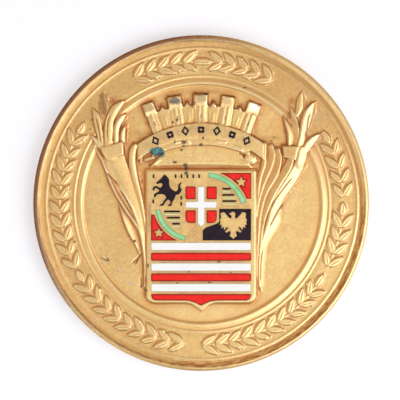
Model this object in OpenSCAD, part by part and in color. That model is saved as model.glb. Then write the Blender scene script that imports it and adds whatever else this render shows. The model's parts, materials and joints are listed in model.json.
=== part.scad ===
// Round struck table medal in gilt bronze, face up. Its shield is filled with opaque
// enamel: every fill is a separate solid that stands in a cell sunk into the metal.
// The origin is the centre of the flat back, and +Z points out of the face.

/* [Disc] */
// Diameter over the rim
medal_d = 60; // [59:0.25:62]
// Height of the sunk field above the back
field_h = 2.7; // [2.4:0.05:2.8]
// Height of the rim crest above the back
rim_h = 3.3; // [3.2:0.05:3.5]
// Height of the flat ring between the mouldings
ring_h = 2.85; // [2.75:0.05:3]
// Height of the garland above the flat ring
garland_relief = 0.3; // [0.2:0.05:0.5]
// Bevel round the back edge
back_bevel = 0.35; // [0.2:0.05:0.6]

/* [Shield] */
// Width of the shield plate
shield_w = 19.3; // [19:0.1:19.5]
// Height of the plate's flat top, the level of the enamel, above the back
plate_h = 3.3; // [3.25:0.05:3.5]
// Depth of the enamel cells
cell_depth = 0.5; // [0.3:0.05:0.6]
// Gap between an enamel fill and the wall of its cell
cell_gap = 0.02; // [0.01:0.005:0.03]
// Height of one enamel bar
bar_h = 1.45; // [1.3:0.05:1.5]
// Distance from one bar to the next
bar_pitch = 1.84; // [1.8:0.01:1.85]

/* [Crown] */
// Height of the circlet's face above the back
circlet_h = 3.4; // [3.35:0.05:3.6]
// Height of the towers above the back
tower_h = 3.45; // [3.4:0.05:3.6]
// Height of the wall between the towers above the back
wall_h = 3.15; // [3.05:0.05:3.2]

/* [Sheaves] */
// Height of the highest leaves above the back
leaf_h = 3.6; // [3.5:0.05:3.8]

/* [Hidden] */
MARKS = 7;           // marks on the circlet of the crown
BILLETS = 9;         // small upright black bars round the horse
SLIPS = 3;           // black slips beside each bend, each with a cream one under it

gold = "#dcb070";
black = "#1c1018";
red = "#dc1f26";
white = "#fafafc";
green = "#93dca0";
cream = "#e2e8bc";

medal_r = medal_d / 2;
sunk = 1;            // how far relief reaches down into the disc
cell_floor = plate_h - cell_depth;
mark_floor = circlet_h - cell_depth;

// Curves and outlines

// Catmull-Rom curve through rows of numbers, open or closed, with n steps a span
function row_at(p, i, closed) =
    closed ? p[(i + len(p)) % len(p)] : p[max(0, min(len(p) - 1, i))];
function blend_rows(a, b, c, d, t) =
    0.5 * (2 * b + (c - a) * t + (2 * a - 5 * b + 4 * c - d) * t * t
        + (3 * b - a - 3 * c + d) * t * t * t);
function curve(p, n, closed = false) = concat(
    [for (i = [0 : len(p) - (closed ? 1 : 2)], k = [0 : n - 1])
        blend_rows(row_at(p, i - 1, closed), row_at(p, i, closed),
            row_at(p, i + 1, closed), row_at(p, i + 2, closed), k / n)],
    closed ? [] : [p[len(p) - 1]]);

function unit(v) = v / norm(v);
function flat(v) = [v[0], v[1]];

// The outline of a ribbon whose rows are x, y and half its width there
function ribbon(rows) =
    let (n = len(rows),
         side = [for (i = [0 : n - 1])
             let (t = unit(flat(rows[min(n - 1, i + 1)]) - flat(rows[max(0, i - 1)])))
             [-t[1], t[0]] * rows[i][2]])
    concat([for (i = [0 : n - 1]) flat(rows[i]) - side[i]],
           [for (i = [n - 1 : -1 : 0]) flat(rows[i]) + side[i]]);

// A closed outline, anticlockwise, with each of its edges moved outwards by d
function grown(p, d) =
    let (n = len(p))
    [for (i = [0 : n - 1])
        let (t = unit(p[i] - p[(i + n - 1) % n]) + unit(p[(i + 1) % n] - p[i]))
        p[i] + d * [t[1], -t[0]] * 2 / (t * t)];

// A polygon's corners rounded by the radius in the list at the same place
function rounded(p, radii, steps = 3) =
    let (n = len(p))
    [for (i = [0 : n - 1])
        let (a = p[i] + unit(p[(i + n - 1) % n] - p[i]) * radii[i],
             b = p[i] + unit(p[(i + 1) % n] - p[i]) * radii[i])
        each radii[i] == 0 ? [p[i]]
            : [for (k = [0 : steps]) let (t = k / steps)
                (1 - t) * (1 - t) * a + 2 * t * (1 - t) * p[i] + t * t * b]];

function rounded_box(x0, y0, x1, y1, r) =
    rounded([[x0, y0], [x1, y0], [x1, y1], [x0, y1]], [r, r, r, r]);
function mirrored(p) = [for (i = [len(p) - 1 : -1 : 0]) [-p[i][0], p[i][1]]];
function arc_points(centre, r, from, to, steps) =
    [for (k = [0 : steps])
        let (a = from + (to - from) * k / steps) centre + r * [cos(a), sin(a)]];

// Disc with its mouldings

// Radius and height of each corner of the face, from the middle outwards,
// with the radii measured inwards from the edge of the medal
rim_slope = 0.35;    // drop from the rim crest to the outer edge
face_profile = [
    [0, field_h],
    [medal_r - 9.15, field_h],
    [medal_r - 8.75, field_h + 0.12],
    [medal_r - 7.95, field_h + 0.12],
    [medal_r - 7.55, ring_h - 0.06],
    [medal_r - 6.35, ring_h - 0.03],
    [medal_r - 6.05, ring_h],
    [medal_r - 3.05, ring_h],
    [medal_r - 2.55, ring_h - 0.05],
    [medal_r - 1.55, ring_h - 0.01],
    [medal_r - 0.95, rim_h - 0.1],
    [medal_r - 0.35, rim_h - 0.1],
    [medal_r, rim_h - rim_slope],
    [medal_r, back_bevel],
    [medal_r - back_bevel, 0],
    [0, 0]];
bead_at = [medal_r - 8.3, medal_r - 7.14, medal_r - 1.96, medal_r - 0.65];
bead_top = [field_h + 0.32, ring_h + 0.08, ring_h + 0.12, rim_h];
bead_r = [0.6, 0.32, 0.32, 0.45];

module disc() {
    rotate_extrude($fn = 180) polygon(face_profile);
    for (i = [0 : 3])
        rotate_extrude($fn = 180) translate([bead_at[i], bead_top[i] - bead_r[i]])
            circle(r = bead_r[i], $fn = 32);
}

// The garland of leaves round the ring, as the bands that its sprigs fill:
// the angle where each band starts and the angle that it covers
garland_in = medal_r - 6.6;
garland_w = 3.8;
garland_spans = [[2, 26], [60, 58.5], [148, 59.5], [211, 52], [270, 56.7], [333, 24.5]];

module garland() {
    for (span = garland_spans)
        rotate(span[0]) rotate_extrude(angle = span[1], $fn = 180)
            translate([garland_in, ring_h - sunk]) square([garland_w, sunk + garland_relief]);
}

// Leaf sheaves: each row of a leaf or fold is x, y and half its width

right_leaves = [
    [[17.8, 14.0, 0.3], [17.65, 17.2, 0.62], [18.05, 20.0, 0.06]],
    [[16.8, 9.8, 0.5], [16.9, 14.2, 0.6], [15.9, 17.5, 0.08]],
    [[15.6, 9.8, 0.45], [14.8, 14.6, 0.5], [15.2, 17.6, 0.06]],
    [[18.0, 9.8, 0.45], [18.2, 14.6, 0.8], [20.5, 18.0, 0.06]],
    [[18.1, 8.8, 0.35], [19.5, 11.1, 0.55], [21.5, 12.4, 0.06]]];
left_leaves = [
    [[-17.4, 13.6, 0.45], [-17.25, 17.2, 0.72], [-17.45, 19.6, 0.06]],
    [[-17.7, 9.9, 0.45], [-18.3, 13.9, 0.7], [-19.35, 16.8, 0.06]],
    [[-16.5, 9.9, 0.6], [-16.2, 14.7, 0.75], [-13.45, 18.3, 0.06]],
    [[-15.2, 9.9, 0.45], [-14.95, 14.1, 0.5], [-13.55, 15.8, 0.06]],
    [[-14.0, 10.2, 0.4], [-13.85, 12.8, 0.45], [-13.35, 13.9, 0.06]],
    [[-17.3, 9.2, 0.35], [-18.6, 11.1, 0.45], [-19.8, 12.3, 0.06]]];
right_folds = [
    [[12.2, 10.5, 0.4], [11.9, 6.8, 0.62], [10.6, 1.8, 0.45], [9.95, -3.0, 0.08]],
    [[13.5, 9.6, 0.5], [13.5, 6.8, 0.65], [11.6, 1.8, 0.55], [10.4, -3.5, 0.4],
     [10.1, -8.4, 0.08]],
    [[15.4, 8.3, 0.8], [14.9, 5.5, 0.9], [12.8, 1.2, 0.85], [11.3, -3.2, 0.6],
     [10.5, -8.6, 0.4], [10.3, -14.6, 0.15]],
    [[17.9, 7.6, 0.7], [16.8, 4.8, 0.9], [14.5, 1.5, 0.9], [12.6, -2.4, 0.8],
     [11.3, -6.8, 0.6], [10.7, -14.6, 0.2]],
    [[14.9, -0.5, 0.1], [13.5, -4.0, 0.7], [12.0, -7.2, 0.7], [11.2, -10.6, 0.5],
     [10.9, -15.0, 0.12]]];
left_folds = [
    [[-16.9, 8.2, 0.8], [-16.0, 5.4, 1.1], [-14.4, 1.9, 1.2], [-12.6, -1.6, 1.05],
     [-11.0, -5.6, 0.65], [-10.2, -10.0, 0.35], [-10.0, -15.0, 0.15]],
    [[-14.4, 8.6, 0.7], [-13.6, 5.0, 0.9], [-12.2, 1.4, 0.85], [-10.8, -2.2, 0.6],
     [-9.9, -6.8, 0.1]],
    [[-12.0, 10.3, 0.5], [-12.2, 7.7, 0.8], [-12.0, 5.5, 0.75], [-11.0, 2.6, 0.6],
     [-10.0, -0.6, 0.1]],
    [[-14.3, -0.4, 0.1], [-13.5, -3.0, 0.6], [-12.2, -5.4, 0.65], [-11.0, -8.2, 0.45],
     [-10.4, -11.0, 0.1]]];
right_collar = [[14.6, 10.2], [17.4, 10.1], [19.0, 9.5], [18.6, 7.2], [16.8, 7.6], [14.8, 8.2]];
left_collar = [[-17.5, 10.0], [-13.9, 11.1], [-13.8, 8.5], [-16.3, 7.6]];
leaf_step = 0.04;    // each leaf stands this much above the one before it
fold_drop = 0.2;     // the highest fold below the collar's top
blade_drop = 0.05;   // the highest leaf tip below the collar's top

module blades(rows_of_each, top, steps) {
    for (i = [0 : len(rows_of_each) - 1])
        translate([0, 0, field_h - sunk])
            linear_extrude(top - field_h + sunk - leaf_step * (len(rows_of_each) - 1 - i))
                polygon(ribbon(curve(rows_of_each[i], steps)));
}

module sheaf(leaves, folds, collar) {
    blades(folds, leaf_h - fold_drop, 2);
    blades(leaves, leaf_h - blade_drop, 3);
    translate([0, 0, field_h - sunk]) linear_extrude(leaf_h - field_h + sunk)
        polygon(collar);
}

// Mural crown

circlet_y = -4.67;       // centre of the circlet's upper arc
circlet_r = 18.96;       // its radius
underside_y = -9.64;     // centre of the circlet's lower arc
underside_r = 20;
circlet_half_angle = 37;
underside_drop = 0.25;   // the underside below the circlet's face
underside_lap = 0.5;     // how far the underside reaches in under the circlet
crown_base_y = 6.55;     // foot of the crown above the shield
crown_base_rise = 0.3;   // how much that foot turns up at its ends
crown_base_w = [6.5, 8.9];
tower_y = -9.5;          // centre of the arc that the towers stand on
tower_foot_r = 22.2;
tower_top_r = 28.9;
tower_angles = [-19.3, -9.7, -0.6, 9.8, 19.4];
merlon_angles = [-14.7, -5.2, 4.7, 14.7];

module circlet() {
    ends = circlet_half_angle;
    translate([0, 0, field_h - sunk]) linear_extrude(circlet_h - field_h + sunk)
        polygon(concat(
            arc_points([0, circlet_y], circlet_r, 90 - ends, 90 + ends, 18),
            arc_points([0, underside_y], underside_r, 116, 64, 14)));
}

// The hollow underside of the circlet, a step below its face
module circlet_underside() {
    translate([0, 0, field_h - sunk])
        linear_extrude(circlet_h - field_h + sunk - underside_drop)
            polygon(concat(
                arc_points([0, underside_y], underside_r + underside_lap, 64, 116, 14),
                [[-crown_base_w[1], crown_base_y + crown_base_rise],
                 [-crown_base_w[0], crown_base_y], [crown_base_w[0], crown_base_y],
                 [crown_base_w[1], crown_base_y + crown_base_rise]]));
}

shaft_half_w = 0.95;
shaft_length = 4.7;
block_half_w = 1.12;     // the block that stands out at the top of each tower
block_length = 2.05;
block_step = 0.15;
slit_w = 0.18;
slit_length = 1.0;
slit_up = 2.35;          // from the tower's foot to the slit

module tower() {
    translate([0, 0, field_h - sunk]) {
        translate([-shaft_half_w, tower_foot_r])
            cube([2 * shaft_half_w, shaft_length, tower_h - block_step - field_h + sunk]);
        translate([-block_half_w, tower_top_r - block_length])
            cube([2 * block_half_w, block_length, tower_h - field_h + sunk]);
    }
}

module slit() {
    translate([-slit_w / 2, tower_foot_r + slit_up, wall_h]) cube([slit_w, slit_length, 1]);
}

// Swallow-tailed wall between two towers, drawn from its foot
merlon_outline = [[-1.6, 0], [1.6, 0], [1.35, 4.3], [0.75, 3.9], [0.4, 4.6], [0, 4.1],
                  [-0.4, 4.6], [-0.75, 3.9], [-1.35, 4.3]];

module merlon() {
    translate([0, tower_foot_r, field_h - sunk]) linear_extrude(wall_h - field_h + sunk)
        polygon(merlon_outline);
}

module on_arc(angle) {
    translate([0, tower_y]) rotate(-angle) children();
}

module crown() {
    difference() {
        union() {
            circlet();
            circlet_underside();
            for (a = merlon_angles) on_arc(a) merlon();
            for (a = tower_angles) on_arc(a) tower();
        }
        for (a = tower_angles) on_arc(a) slit();
        for (i = [0 : MARKS - 1]) translate([0, 0, mark_floor]) linear_extrude(1)
            on_circlet(i) mark_shape(i, 0);
    }
}

// Shield plate and the outlines of its cells, all about the shield's middle line

half_w = shield_w / 2;
plate_top = 5.72;
plate_base = -17.75;
plate_point = -19.1;
cell_w = 8.95;           // half the width of the enamelled part

// A shield with square shoulders, round lower corners and a small point in the base
point_half_w = 1.9;
function shield_outline(w, top, base, point, corner) =
    rounded([[-w, top], [-w, base], [-point_half_w, base], [0, point], [point_half_w, base],
             [w, base], [w, top]],
            [0.05, corner, 1.15, 0, 1.15, corner, 0.05], 5);
plate_outline = shield_outline(half_w, plate_top, plate_base, plate_point, 1.7);

bars_top = -7.03;
last_bar_base = -17.42;
last_bar_point = -18.35;
bar_corner = 0.28;
last_bar_side = 0.1;     // straight part of the last bar's sides, above its round corners
function bar_outline(i) =
    let (top = bars_top - i * bar_pitch)
    i < 5 ? rounded_box(-cell_w, top - bar_h, cell_w, top, bar_corner)
          : shield_outline(cell_w, top, last_bar_base, last_bar_point,
                           top - last_bar_base - last_bar_side);

// The small shield: a white cross between four red cantons
cross_half_w = 0.63;
cross_arm = 2.82;
cross_mid = -0.31;
cross_half_h = 0.6;
cross_top = 2.95;
cross_foot = -4.3;
cross_tip = 0.6;         // length of the foot's point
cross_outline = rounded(
    [[-cross_half_w, cross_mid - cross_half_h], [-cross_half_w, cross_foot + cross_tip],
     [0, cross_foot], [cross_half_w, cross_foot + cross_tip],
     [cross_half_w, cross_mid - cross_half_h], [cross_arm, cross_mid - cross_half_h],
     [cross_arm, cross_mid + cross_half_h], [cross_half_w, cross_mid + cross_half_h],
     [cross_half_w, cross_top], [-cross_half_w, cross_top],
     [-cross_half_w, cross_mid + cross_half_h], [-cross_arm, cross_mid + cross_half_h],
     [-cross_arm, cross_mid - cross_half_h]],
    [0.08, 0.1, 0.1, 0.1, 0.08, 0.25, 0.25, 0.08, 0.2, 0.2, 0.08, 0.25, 0.25]);
upper_canton = rounded_box(0.95, 0.66, cross_arm, 2.97, 0.18);
lower_canton = rounded([[0.95, -3.6], [cross_arm, -3.6], [cross_arm, -1.28], [0.95, -1.28]],
                       [0.15, 0.9, 0.18, 0.15]);
function canton_outline(i) =
    let (p = i < 2 ? upper_canton : lower_canton) i % 2 == 0 ? mirrored(p) : p;

// Rearing horse, on a grid that is 100 high
horse_grid = [
    [40, 101], [34, 93], [22, 81], [14, 75], [17, 69], [29, 73], [34, 68], [28, 58],
    [15, 64], [5, 61], [2, 50], [8, 49], [12, 57], [24, 49],
    [15, 42], [7, 37], [7, 27], [13, 28], [17, 35], [32, 37],
    [42, 33], [46, 24], [38, 16], [34, 7], [25, 3], [27, -1], [38, 0], [43, 9], [53, 19],
    [60, 12], [57, 4], [51, 1], [53, -2], [64, 0], [66, 9], [73, 20],
    [79, 34], [88, 36], [97, 50], [92, 64], [99, 78], [86, 68], [85, 54], [78, 46],
    [70, 50], [60, 58], [57, 70], [56, 84], [49, 95]];
horse_size = 5.5;
horse_at = [-8.8, -0.45];
horse_outline = [for (q = curve(horse_grid, 3, true)) horse_at + q * horse_size / 100];

// Eagle with spread wings, on a grid that is 100 high: one half, then the head
eagle_half = [
    [5, 4], [12, 8], [9, 22], [14, 27], [22, 22], [30, 24], [24, 31], [17, 40],
    [26, 40], [33, 30], [35, 43], [43, 36], [42, 52], [49, 48], [46, 63],
    [50, 64], [44, 78], [46, 90], [34, 95], [26, 86], [16, 75], [8, 72]];
eagle_head = [[6, 80], [7, 91], [-1, 97], [-9, 92], [-16, 88], [-9, 86], [-6, 80]];
eagle_size = 4.9;
eagle_at = [5.75, -6.3];
eagle_outline = [for (q = curve(concat([[0, -2]], eagle_half, eagle_head, mirrored(eagle_half)),
                                3, true))
                     eagle_at + q * eagle_size / 100];
ground_outline = rounded(
    [[0.25, -6.7], [cell_w, -6.7], [cell_w, -1.02], [3.2, -1.02], [3.2, -3.5], [2.0, -3.95],
     [0.85, -4.35], [0.25, -4.85]],
    [0.12, 0.12, 0.12, 0.1, 0.4, 0.3, 0.2, 0.12]);

// Two bends, each an arc that cuts a red corner off its quarter
bend_centre = [[0.6, -2.3], [-1.5, -0.1]];
bend_r = [7.35, 6.35];
bend_from = [18, 190];
bend_to = [84, 258];
bend_half_w = 0.45;
wall = 0.3;              // metal left standing between neighbouring cells
function bend_outline(i) =
    let (c = bend_centre[i], r = bend_r[i], w = bend_half_w)
    concat(arc_points(c, r - w, bend_to[i], bend_from[i], 14),
           arc_points(c, r + w, bend_from[i], bend_to[i], 14));
corner_r = [for (r = bend_r) r + bend_half_w + wall];
cells_top = 5.38;
cells_mid = -6.7;
function corner_outline(i) =
    let (c = bend_centre[i], r = corner_r[i])
    i == 0 ? concat(arc_points(c, r, asin((cells_top - c[1]) / r), 22, 12),
                    [[cell_w, 0.75], [cell_w, cells_top]])
           : concat(arc_points(c, r, 180 - asin((cells_mid - c[1]) / r), 196, 12),
                    [[-cell_w, -2.05], [-cell_w, cells_mid]]);
corner_star = [[7.15, 3.75], [-7.55, -5.35]];
star_r = [1.0, 0.92];
star_waist = 0.42;       // inner radius of a star as a share of its outer one
function star_outline(i) =
    [for (k = [0 : 9])
        let (a = 90 + 36 * k, r = k % 2 == 0 ? star_r[i] : star_r[i] * star_waist)
        corner_star[i] + r * [cos(a), sin(a)]];

// Short slips, black and cream in turn, stacked between each bend and the small shield:
// each row is a black slip's left end, right end and middle height
slip_h = 0.36;
slips = [
    [[3.75, 5.35, 2.55], [3.75, 5.95, 1.45], [3.75, 6.35, 0.35]],
    [[-6.65, -3.75, -1.5], [-6.15, -3.75, -2.6], [-5.2, -3.75, -3.7]]];
cream_drop = 0.55;
function slip_outline(i, drop) =
    let (s = slips[floor(i / SLIPS)][i % SLIPS])
    rounded_box(s[0], s[2] - drop - slip_h / 2, s[1], s[2] - drop + slip_h / 2, 0.12);

billet_at = [
    [-4.55, 4.8], [-3.5, 4.8], [-2.45, 4.8], [-1.4, 4.8], [-0.35, 4.8],
    [-8.5, 4.8], [-8.55, 0.3], [-3.55, 0.95], [-3.55, -0.15]];
billet_half_w = 0.17;
billet_half_h = 0.34;
function billet_outline(i) =
    let (b = billet_at[i])
    rounded_box(b[0] - billet_half_w, b[1] - billet_half_h,
                b[0] + billet_half_w, b[1] + billet_half_h, 0.06);

// Seven marks along the circlet: lozenges and quatrefoils in turn
mark_arc_r = 17.75;
mark_step = 9.1;
function mark_angle(i) = (i - (MARKS - 1) / 2) * mark_step;
lozenge = [[0, -0.95], [0.75, 0], [0, 0.95], [-0.75, 0]];
lozenge_eye = [[0, -0.42], [0.33, 0], [0, 0.42], [-0.33, 0]];
lobe_at = 0.36;
lobe_r = 0.37;
eye_r = 0.2;

module on_circlet(i) {
    translate([0, circlet_y]) rotate(-mark_angle(i)) translate([0, mark_arc_r]) children();
}

module mark_shape(i, d) {
    if (i % 2 == 0) difference() {
        polygon(grown(lozenge, d));
        polygon(grown(lozenge_eye, -d));
    }
    else difference() {
        for (a = [45 : 90 : 315])
            rotate(a) translate([lobe_at, 0]) circle(r = lobe_r + d, $fn = 24);
        circle(r = eye_r - d, $fn = 24);
    }
}

module ground_solid(h, d) {
    difference() {
        linear_extrude(h) polygon(grown(ground_outline, d));
        translate([0, 0, -1]) linear_extrude(h + 2) polygon(grown(eagle_outline, -d));
    }
}

module corner_solid(i, h, d) {
    difference() {
        linear_extrude(h) polygon(grown(corner_outline(i), d));
        translate([0, 0, -1]) linear_extrude(h + 2) polygon(grown(star_outline(i), -d));
    }
}

cell_outlines = concat(
    [cross_outline, horse_outline],
    [for (i = [0 : 5]) bar_outline(i)],
    [for (i = [0 : 3]) canton_outline(i)],
    [for (i = [0 : 1]) bend_outline(i)],
    [for (i = [0 : 2 * SLIPS - 1], drop = [0, cream_drop]) slip_outline(i, drop)],
    [for (i = [0 : BILLETS - 1]) billet_outline(i)]);

module shield_plate() {
    difference() {
        translate([0, 0, field_h - sunk]) linear_extrude(plate_h - field_h + sunk)
            polygon(plate_outline);
        translate([0, 0, cell_floor]) {
            for (p = cell_outlines) linear_extrude(1) polygon(p);
            for (i = [0 : 1]) corner_solid(i, 1, 0);
            ground_solid(1, 0);
        }
    }
}

module medal_body() {
    color(gold) union() {
        disc();
        garland();
        sheaf(right_leaves, right_folds, right_collar);
        sheaf(left_leaves, left_folds, left_collar);
        crown();
        shield_plate();
    }
}

// Enamel

module fill(outline) {
    translate([0, 0, cell_floor]) linear_extrude(cell_depth - cell_gap)
        polygon(grown(outline, -cell_gap));
}

module white_cross() {
    color(white) fill(cross_outline);
}

module white_bar(i) {
    color(white) fill(bar_outline(2 * i));
}

module red_bar(i) {
    color(red) fill(bar_outline(2 * i + 1));
}

module red_canton(i) {
    color(red) fill(canton_outline(i));
}

module black_horse() {
    color(black) fill(horse_outline);
}

module billet(i) {
    color(black) fill(billet_outline(i));
}

module black_ground() {
    color(black) translate([0, 0, cell_floor]) ground_solid(cell_depth - cell_gap, -cell_gap);
}

module green_bend(i) {
    color(green) fill(bend_outline(i));
}

module red_corner(i) {
    color(red) translate([0, 0, cell_floor]) corner_solid(i, cell_depth - cell_gap, -cell_gap);
}

module black_slip(i) {
    color(black) fill(slip_outline(i, 0));
}

module cream_slip(i) {
    color(cream) fill(slip_outline(i, cream_drop));
}

module crown_mark(i) {
    color(black) translate([0, 0, mark_floor]) linear_extrude(cell_depth - cell_gap)
        on_circlet(i) mark_shape(i, -cell_gap);
}

medal_body();
white_cross();
black_horse();
black_ground();
for (i = [0 : 2]) white_bar(i);
for (i = [0 : 2]) red_bar(i);
for (i = [0 : 3]) red_canton(i);
for (i = [0 : 1]) green_bend(i);
for (i = [0 : 1]) red_corner(i);
for (i = [0 : 2 * SLIPS - 1])
    black_slip(i);
for (i = [0 : 2 * SLIPS - 1])
    cream_slip(i);
for (i = [0 : BILLETS - 1]) billet(i);
for (i = [0 : MARKS - 1]) crown_mark(i);
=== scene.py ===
# %% [markdown]
# # A struck medal with an enamelled shield
#
# The medal is one disc of gilt bronze, struck between dies and then enamelled: the
# shield's cells are sunk into the metal, filled with powdered glass, fired and stoned
# flush. The packed model holds every piece at its real size, with plain steps for the
# struck relief. Those steps could be bevelled one by one, but soft relief has no edges to
# bevel. So this lesson models the whole face again, each feature where its step was, and
# then gives metal and glass their finish.

# %% The frame
import json
import math

import bpy
import numpy as np
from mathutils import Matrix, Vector

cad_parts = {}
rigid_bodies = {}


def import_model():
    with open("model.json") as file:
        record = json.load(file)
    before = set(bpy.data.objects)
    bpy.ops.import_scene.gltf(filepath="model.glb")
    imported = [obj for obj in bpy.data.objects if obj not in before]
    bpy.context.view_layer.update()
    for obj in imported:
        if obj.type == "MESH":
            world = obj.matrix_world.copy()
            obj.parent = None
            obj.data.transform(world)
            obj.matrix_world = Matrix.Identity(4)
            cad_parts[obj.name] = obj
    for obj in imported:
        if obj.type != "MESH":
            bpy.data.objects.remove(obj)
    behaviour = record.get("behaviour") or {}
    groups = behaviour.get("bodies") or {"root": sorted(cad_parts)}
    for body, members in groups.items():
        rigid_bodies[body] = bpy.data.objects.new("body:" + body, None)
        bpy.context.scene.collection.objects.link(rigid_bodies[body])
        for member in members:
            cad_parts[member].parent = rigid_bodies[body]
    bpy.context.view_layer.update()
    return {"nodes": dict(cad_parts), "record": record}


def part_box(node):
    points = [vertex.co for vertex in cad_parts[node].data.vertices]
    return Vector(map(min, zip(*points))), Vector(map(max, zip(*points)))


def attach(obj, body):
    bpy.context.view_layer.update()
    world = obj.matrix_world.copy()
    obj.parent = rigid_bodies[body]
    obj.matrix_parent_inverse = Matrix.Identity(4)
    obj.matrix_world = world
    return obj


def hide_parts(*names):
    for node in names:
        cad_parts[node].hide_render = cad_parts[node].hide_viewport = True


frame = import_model()
MM = 0.001                   # metres
FAR = 1e9                    # farther than any point of the medal, mm
medal_low, medal_high = (np.array(corner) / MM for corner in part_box("medal_body"))
medal_r = (medal_high[0] - medal_low[0]) / 2
top_of_relief = medal_high[2]
print("medal radius and thickness, mm:", round(medal_r, 3), round(top_of_relief, 3))

# %% [markdown]
# ## The camera
#
# The medal was photographed from straight above, as on a copy stand. A short lens close
# by would show the rim's side all round, so this is a long lens far away. The medal's
# middle lies a little right of and below the picture's middle. A lens shift could do
# that, but it is simpler to set the camera over the point that the middle shows.

# %% The camera
frame_width = 71.43          # of the whole picture at the medal's edge, mm
picture_middle = (-0.204, 0.541)
edge_height = 3.2
lens_mm = 250.0
sensor_mm = 36.0
nearest_shown = 0.01         # metres

camera_data = bpy.data.cameras.new("camera")
camera_data.lens = lens_mm
camera_data.sensor_width = sensor_mm
camera_data.clip_start = nearest_shown
camera_distance = frame_width * lens_mm / sensor_mm
camera = bpy.data.objects.new("camera", camera_data)
camera.location = (picture_middle[0] * MM, picture_middle[1] * MM,
                   (camera_distance + edge_height) * MM)
bpy.context.scene.collection.objects.link(camera)
bpy.context.scene.camera = camera
print("camera height, mm:", round(camera_distance))

# %% [markdown]
# ## Reading the cells
#
# Every enamel fill is a solid with a flat top, and the outline of that top is also the
# outline of its cell. The outlines could be drawn again, but reading them from the
# packed pieces keeps glass and cell together. A loop is found as the edges that only one
# top triangle has. Shallow bends are cut once more, so that round outlines stay round
# when enlarged.

# %% Outlines of the fills
def top_loops(node):
    """The closed outlines of a node's flat top, in mm, with the top on their left."""
    mesh = frame["nodes"][node].data
    points = np.array([v.co for v in mesh.vertices]) / MM
    top = points[:, 2].max() - 0.01
    spot = [tuple(np.round(p[:2], 4)) if p[2] > top else None for p in points]
    after = {}
    mesh.calc_loop_triangles()
    edges = set()
    for triangle in mesh.loop_triangles:
        corners = [spot[i] for i in triangle.vertices]
        if None not in corners:
            edges.update(zip(corners, corners[1:] + corners[:1]))
    for a, b in edges:
        if (b, a) not in edges and a != b:
            after[a] = b
    loops = []
    while after:
        start, here = after.popitem()
        loop = [start]
        while here != start:
            loop.append(here)
            here = after.pop(here)
        loops.append(eased(np.array(loop)))
    return loops


def eased(loop, straight=1.0, sharp=40.0):
    """The loop with its bends cut. Bends under straight and over sharp degrees stay."""
    before, after = np.roll(loop, 1, axis=0), np.roll(loop, -1, axis=0)
    way_in, way_out = loop - before, after - loop
    cross = way_in[:, 0] * way_out[:, 1] - way_in[:, 1] * way_out[:, 0]
    turn = np.degrees(np.arctan2(np.abs(cross), (way_in * way_out).sum(1)))
    made = []
    for p, i, o, t in zip(loop, way_in, way_out, turn):
        made += [p - i / 4, p + o / 4] if straight <= t <= sharp else [p]
    return np.array(made)


def from_segment(x, y, a, b):
    """Distance of each point from the line from a to b, and where along it, 0 to 1."""
    dx, dy = b[0] - a[0], b[1] - a[1]
    along = np.clip(((x - a[0]) * dx + (y - a[1]) * dy) / (dx * dx + dy * dy), 0, 1)
    return np.hypot(x - a[0] - along * dx, y - a[1] - along * dy), along


def signed_distance(loops, x, y):
    """How far each point lies from the nearest edge of the loops, negative inside them."""
    nearest = np.full(x.shape, FAR)
    inside = np.zeros(x.shape, bool)
    for loop in loops:
        for a, b in zip(loop, np.roll(loop, -1, axis=0)):
            nearest = np.minimum(nearest, from_segment(x, y, a, b)[0])
            if a[1] != b[1]:
                level = (y - a[1]) / (b[1] - a[1])
                crossing = a[0] + level * (b[0] - a[0])
                inside ^= (level >= 0) & (level < 1) & (x < crossing)
    return np.where(inside, -nearest, nearest)


fills = {name: top_loops(name) for name in frame["nodes"] if name != "medal_body"}
print("enamel fills:", len(fills), "with", sum(len(v) for v in fills.values()), "outlines")

# %% [markdown]
# ## The grid of the face
#
# Struck relief has no undercuts, because the die has to come off again. It could be
# sculpted, or built of many small meshes, but those would meet in hard seams. So the
# whole face is one height above the back for each point, and numpy can work it out on a
# grid in one go. Each feature below is laid onto the grid with a maximum, as metal that
# stands over metal.

# %% The grid
pitch = 0.125
reach = np.arange(-medal_r - 4 * pitch, medal_r + 4.5 * pitch, pitch)
X, Y = np.meshgrid(reach, reach, indexing="ij")
radius = np.hypot(X, Y)
rng = np.random.default_rng(11)
grime = np.zeros(X.shape)    # dark lines, from 0 to 1: real marks in scratches and the cells' joints, painted shade in creases, slits and seams
painted_highlight = np.zeros(X.shape)    # painted highlight along edges and ribs, from 0 to 1


def around(low, high, spare=0.0):
    """The part of the grid between two corners, in mm, and what is spared round them."""
    first = np.maximum(((np.array(low) - spare - reach[0]) / pitch).astype(int), 0)
    last = ((np.array(high) + spare - reach[0]) / pitch).astype(int) + 2
    return slice(first[0], last[0]), slice(first[1], last[1])


def lay(field, part, laid):
    """Raises a part of a grid field to what is laid there, where that is higher."""
    field[part] = np.maximum(field[part], laid)


def blurred(field, width, pad=40):
    """The grid's field blurred by a Gaussian whose sigma is width, in mm."""
    padded = np.pad(field, pad, mode="edge")
    n, m = padded.shape
    kx, ky = np.fft.fftfreq(n, pitch)[:, None], np.fft.rfftfreq(m, pitch)[None, :]
    soft = np.exp(-2 * (math.pi * width) ** 2 * (kx ** 2 + ky ** 2))
    return np.fft.irfft2(np.fft.rfft2(padded) * soft, s=(n, m))[pad:-pad, pad:-pad]


def patchy(width, count=400, whole=60):
    """Smooth random patches about width mm across, from about -1 to 1. The grid is about
    whole mm wide, and count random numbers each way are more than it needs."""
    coarse = np.random.default_rng(int(width * 1000)).standard_normal((count, count))
    step = (reach - reach[0]) / (reach[-1] - reach[0]) * whole / width
    low = np.minimum(step.astype(int), count - 3)
    part = step - low
    ease = part * part * (3 - 2 * part)
    rows = coarse[low] * (1 - ease)[:, None] + coarse[low + 1] * ease[:, None]
    both = rows[:, low] * (1 - ease) + rows[:, low + 1] * ease
    return both / 1.5


print("grid points:", X.size)

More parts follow.
